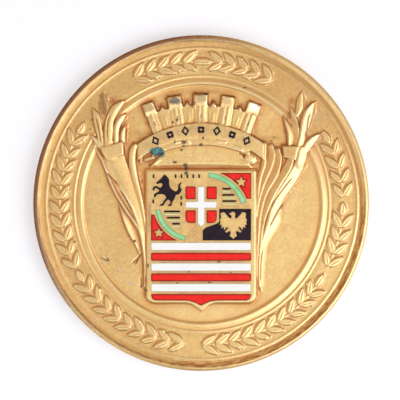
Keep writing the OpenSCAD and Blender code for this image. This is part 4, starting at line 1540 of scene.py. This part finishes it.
# worn lines round the rim's crest, darkened as painted shade, less at the upper right
rim_lines_and_shade = (circle_band(29.0, 29.25, 29.5, 29.75) * on_face * fine_lines.step(0.38, 0.58)
            * (0.6 - facing(40, 0.3, 1.0) * 0.3))
layers += [
    (worn_mask, 0.5, (0.97, 0.69, 0.28), 0),
    # painted shade: folds turn orange, less on the ring and under the shield
    (fold_shade_mask * (0.65 - on_ring * 0.55 - under_shield * 0.45), 1, (0.80, 0.40, 0.09), 0),
    (between_bars * (0.2 + streaks * 0.4), 1, (0.55, 0.30, 0.22), 0),
    ((patina_mask + (mottle - 0.5) * 0.5).step(0.1, 0.9), 0.4, (0.60, 0.27, 0.08), 0)]
layers += spot_layers(stains_and_painted_patches)
layers += [
    # darker in the hollows, less on the ring and under the shield
    (hollow_darkening * (0.55 - on_ring * 0.35 - under_shield * 0.5), 1, (0.42, 0.15, 0.04), 0),
    # painted highlight below the shield's foot
    (under_shield, 0.3, (1.0, 0.74, 0.34), 0),
    (edge_shade, 1, (0.20, 0.09, 0.055), 0.9),
    (red_flecks, 0.6, (0.50, 0.14, 0.05), 0),
    (rim_lines_and_shade, 1, (0.32, 0.15, 0.06), 1),
    # painted highlight: pale on crests and along the highlight lines
    (crest_highlight_mask, 0.35, (0.99, 0.86, 0.58), 0),
    # dark lines: real marks in scratches and the cells' joints, painted shade in creases,
    # slits and seams
    ((dirt_and_shade_mask + (mottle - 0.5) * 0.6).step(0.2, 0.8), 0.78, (0.24, 0.08, 0.02), 0),
    (pits, 0.35, (0.45, 0.22, 0.08), 0)]
print("layers with wear and toning:", len(layers))

# %% [markdown]
# ### Soot, verdigris and specks
#
# This medal has a sooty stain on one tower, a spot of verdigris beside the circlet, and
# dark specks. They are the newest, so they lie over everything. Verdigris is a crust: a
# dark blue ground with paler grains, rough, and hardly a metal any more.

# %% Soot, verdigris and specks
dull_towers = [tower_spot(-0.2, 28.1, 1.1, 0.75), tower_spot(9.2, 28.1, 0.6, 0.7),
               tower_spot(-19.0, 28.0, 1.0, 0.7)]
# painted highlight on the top of the right tower, whose block leans to the light
tower_highlight = [tower_spot(19.5, 28.2, 0.9, 0.8)]
sooty_tower = [tower_spot(-9.7, 28.15, 1.3, 0.75)]
band_middle_r = 17.9         # of the marked band, about the centre of its upper edge
on_band = [(band_middle_r * math.sin(a), band_centre + band_middle_r * math.cos(a), 2.0, 0.7)
           for a in np.radians([-31.0, -22.0, -13.0, -3.0, 8.0, 17.0, 26.0])]
scuffs = [(-17.1, -9.8, 0.5, 0.2), (-17.3, -10.5, 0.6, 0.2), (-11.95, -9.75, 0.5, 0.25),
          (-11.0, -10.4, 0.3, 0.3), (-14.7, -12.0, 0.6, 0.4), (-12.7, -14.5, 0.6, 0.45)]
specks = [(-3.15, 10.9, 0.5, 0.32), (-3.1, 10.2, 0.3, 0.22), (-3.5, 9.5, 0.36, 0.26),
          (-0.1, 10.4, 0.42, 0.3), (0.35, 11.6, 0.24, 0.3), (-4.75, 7.3, 0.5, 0.32),
          (-2.8, 6.45, 0.5, 0.75), (-2.7, 5.4, 0.45, 0.4), (-4.7, 11.0, 0.16, 0.32),
          (-5.1, 14.4, 0.26, 0.26), (-4.3, 14.8, 0.24, 0.26), (0.9, 19.5, 0.6, 0.26),
          (7.8, 20.6, 0.55, 0.18), (-11.9, -6.8, 0.34, 0.32), (-10.7, -14.9, 0.26, 0.3),
          (3.2, -10.5, 0.4, 0.14), (5.3, -12.4, 0.24, 0.16), (1.6, -14.2, 0.45, 0.14),
          (-4.3, -14.3, 0.2, 0.16), (-2.2, -12.3, 0.22, 0.16), (-12.1, 15.2, 0.24, 0.2),
          (-19.8, 13.2, 0.22, 0.18), (12.4, 11.1, 0.45, 0.2), (13.1, 11.8, 0.3, 0.14),
          (-9.5, -11.2, 0.2, 0.45), (-9.85, -15.6, 0.24, 0.26), (-14.85, -12.2, 0.3, 0.2)]

soot = any_of(sooty_tower, 0.7) * (0.95 - crust * 0.3)
verdigris = spot_mask(-7.8, 9.1, 1.3, 1.0, 0.6)
grains = spot_mask(-7.85, 9.15, 1.1, 0.8, 0.6, 0.5) * crust
freckles = spot_mask(-3.0, 9.5, 4.0, 6.0, 0.4, 0.9) * place.noise(0.3, 3.0).step(0.6, 0.68)
specked = any_of(specks)
layers += spot_layers([
    (dull_towers, 0.5, 0.5, 0.45, (0.42, 0.33, 0.24), 0),
    (tower_highlight, 0.4, 0.7, 0.85, (1.0, 0.97, 0.9), 0),
    (on_band, 1.2, 0.8, 0.3, (0.46, 0.30, 0.18), 0)])
layers.append((soot, 1, (0.13, 0.125, 0.155), 0.7))
layers += spot_layers([(scuffs, 1.1, 0.7, 0.5, (0.62, 0.55, 0.50), 0)])
layers += [
    (verdigris, 0.95, (0.01, 0.07, 0.09), 0.9),
    (grains, 1, (0.10, 0.43, 0.47), 0),
    (freckles, 0.6, (0.20, 0.11, 0.08), 0),
    (specked, 0.85, (0.05, 0.03, 0.02), 0.8)]
print("layers in all:", len(layers))

# %% [markdown]
# ### Metal and lacquer
#
# The layers are now laid one over the other. The clear lacquer is the shader's coat. It
# could be left out, as the gold reflects by itself, but its white gleam over the yellow
# one is what makes the metal look lacquered. It is gone where the layers say so.

# %% Metal and lacquer
lacquer, lacquer_ior, lacquer_roughness = 0.8, 1.8, 0.3
gold, bare = clean_gold, dirt_and_shade_mask
for mask, share, colour, bared in layers:
    gold = gold.tint(mask * share, (*colour, 1))
    if bared:
        bare = bare.at_least(mask * bared)
feed(shader, "Base Color", gold)
feed(shader, "Coat Weight", (1 - bare) * lacquer)
shader.inputs["Coat IOR"].default_value = lacquer_ior
shader.inputs["Coat Roughness"].default_value = lacquer_roughness
feed(shader, "Roughness", (0.42 + grain * 0.16 + hollow_darkening * 0.12 - crest_highlight_mask * 0.06
                           - worn_mask * 0.04 + verdigris * 0.2))
feed(shader, "Metallic", 1 - (verdigris * 0.7).at_least(specked * 0.5))
relief = (grain * 0.5 + streaks * 0.7 + mottle * 0.6 - pits * 0.8 + verdigris * grain * 4
          + lines * (1 - on_face * 0.75 + on_ring * 0.25) * 0.6)
feed(shader, "Normal", place.node("ShaderNodeBump", {}, {
    "Height": relief, "Strength": 0.6, "Distance": 0.04 * MM}))
body.data.materials.clear()
body.data.materials.append(gilding)
print("gilding:", len(gilding.node_tree.nodes), "nodes")

# %% [markdown]
# ## Enamel
#
# The glass is opaque and glossy. Near the walls of a cell it is thinner and takes up metal
# in the fire, so its edge is darker, and that darker edge is also painted shade where the
# glass meets the wall. Pinholes and a faint cloudiness come from the powder. A colour alone
# would look like paint or plastic, so one function gives all five glasses these traits, each
# with its own colours and width of edge.

# %% Enamel
def enamel(slot, colour, cloudy, edge, edge_width, edge_share):
    """The finish of one colour of glass, its cloudy patches, and its edge at the wall."""
    material, shader, place = finish_of(slot)
    gap = mask_of(place, "wall_gap")
    clouds = place.noise(1.6, 4.0, 0.6)
    fine = place.noise(0.25, 3.0, 0.6)
    # the edge at the wall: thinner glass, and painted shade where the glass meets the wall
    thin_glass_and_shade = (gap + (fine - 0.5) * edge_width).step(edge_width, 0) * edge_share
    holes = place.noise(0.5, 1.0).step(0.74, 0.8)
    glass_colour = (clouds * 0.7 + fine * 0.3).step(0.35, 0.7).blend(colour, cloudy)
    feed(shader, "Base Color", glass_colour.tint(thin_glass_and_shade, edge).tint(holes * 0.4, edge))
    feed(shader, "Roughness", 0.16 + fine * 0.12 + holes * 0.3)
    shader.inputs["Specular IOR Level"].default_value = 0.4
    ripple = place.noise(1.1, 2.0) * 0.8 + fine * 0.25 - holes * 0.5
    feed(shader, "Normal", place.node("ShaderNodeBump", {}, {
        "Height": ripple, "Strength": 0.3, "Distance": 0.03 * MM}))
    return material


recipes = [
    ("white_enamel", (0.90, 0.945, 0.985, 1), (0.94, 0.97, 0.998, 1),
     (0.46, 0.37, 0.29, 1), 0.14, 0.7),
    ("red_enamel", (0.82, 0.018, 0.012, 1), (0.9, 0.032, 0.02, 1),
     (0.14, 0.003, 0.008, 1), 0.34, 0.95),
    ("green_enamel", (0.25, 0.62, 0.3, 1), (0.36, 0.78, 0.42, 1),
     (0.06, 0.28, 0.12, 1), 0.2, 0.7),
    ("cream_enamel", (0.72, 0.78, 0.42, 1), (0.8, 0.86, 0.56, 1),
     (0.4, 0.36, 0.12, 1), 0.14, 0.6),
    ("black_enamel", (0.011, 0.005, 0.011, 1), (0.025, 0.01, 0.02, 1),
     (0.02, 0.008, 0.01, 1), 0.1, 0.5)]
glazes = {row[0]: enamel(*row) for row in recipes}
for name, piece in glass.items():
    piece.data.materials.clear()
    piece.data.materials.append(glazes[slots[name]])
print("glazes:", len(glazes))

# %% [markdown]
# ## The table
#
# The medal lies on white paper. The paper could be pure white, but then the medal's
# shadow would be as grey as the light on it allows. So it is half as bright and glows a
# little, as paper on a light table does, which keeps the shadow pale.

# %% The table
floor_size = 1.2             # metres
paper_gives = 0.03           # how far the medal's weight presses it into the paper, mm
paper_glow = 0.57
bpy.ops.mesh.primitive_plane_add(size=floor_size, location=(0, 0, paper_gives * MM))
paper = bpy.context.object
paper.name = "paper"
paper_finish, paper_shader, paper_place = finish_of("paper")
fibres = paper_place.noise(0.8, 4.0).step(0.2, 0.8)
feed(paper_shader, "Base Color", fibres.blend((0.40, 0.415, 0.485, 1),
                                              (0.43, 0.445, 0.515, 1)))
paper_shader.inputs["Roughness"].default_value = 0.9
paper_shader.inputs["Emission Color"].default_value = (1, 1, 1, 1)
paper_shader.inputs["Emission Strength"].default_value = paper_glow
paper.data.materials.append(paper_finish)
print("paper:", floor_size, "m wide")

# %% [markdown]
# ## The light
#
# A soft box stands at the lower right, so slopes that face it are almost white. Slopes
# that face away mirror two cards of warm brown, as a wooden wall would give, and are
# orange. A picture of a room could light the medal too, but here each reflection can be
# set alone. The flat gold mirrors the room's bright ceiling, and its pale horizon lights
# the medal when it is seen from the side.

# %% The light
warm = (1.0, 0.53, 0.14)


def soft_box(name, turn, tilt, distance, size, radiance, colour=(1, 1, 1)):
    """A square lamp that faces the medal, at a compass turn and a tilt above the table,
    both in degrees, with its distance and size in metres."""
    lamp = bpy.data.lights.new(name, "AREA")
    lamp.shape = "SQUARE"
    lamp.size = size
    lamp.energy = radiance * math.pi * size * size
    lamp.color = colour
    holder = bpy.data.objects.new(name, lamp)
    a, e = math.radians(turn), math.radians(tilt)
    holder.location = distance * Vector((math.cos(e) * math.cos(a),
                                         math.cos(e) * math.sin(a), math.sin(e)))
    holder.rotation_euler = holder.location.to_track_quat("Z", "Y").to_euler()
    bpy.context.scene.collection.objects.link(holder)


soft_box("key", -27, 50, 0.6, 0.5, 3.8, (1.0, 0.99, 0.97))
soft_box("reflector", -140, 38, 0.6, 0.35, 1.6)
soft_box("warm card", 155, 36, 0.6, 0.6, 0.5, warm)
soft_box("upper warm card", 90, 36, 0.6, 0.6, 0.38, warm)
world = bpy.data.worlds.new("room")
world.use_nodes = True
room = world.node_tree.nodes["Background"]
room.inputs["Color"].default_value = (0.97, 0.98, 1.0, 1)
way = Wire(world.node_tree.nodes.new("ShaderNodeTexCoord").outputs["Generated"])
rise = way.node("ShaderNodeSeparateXYZ", {}, {0: way}, output=2)
ceiling = rise.step(0.45, 0.9) * 0.42 - rise.step(0.85, 1.0) * 0.18
horizon = rise.step(0.25, 0.0) * 0.4
feed(room, "Strength", 0.12 + ceiling + horizon)
bpy.context.scene.world = world
bpy.context.scene.view_settings.view_transform = "Standard"
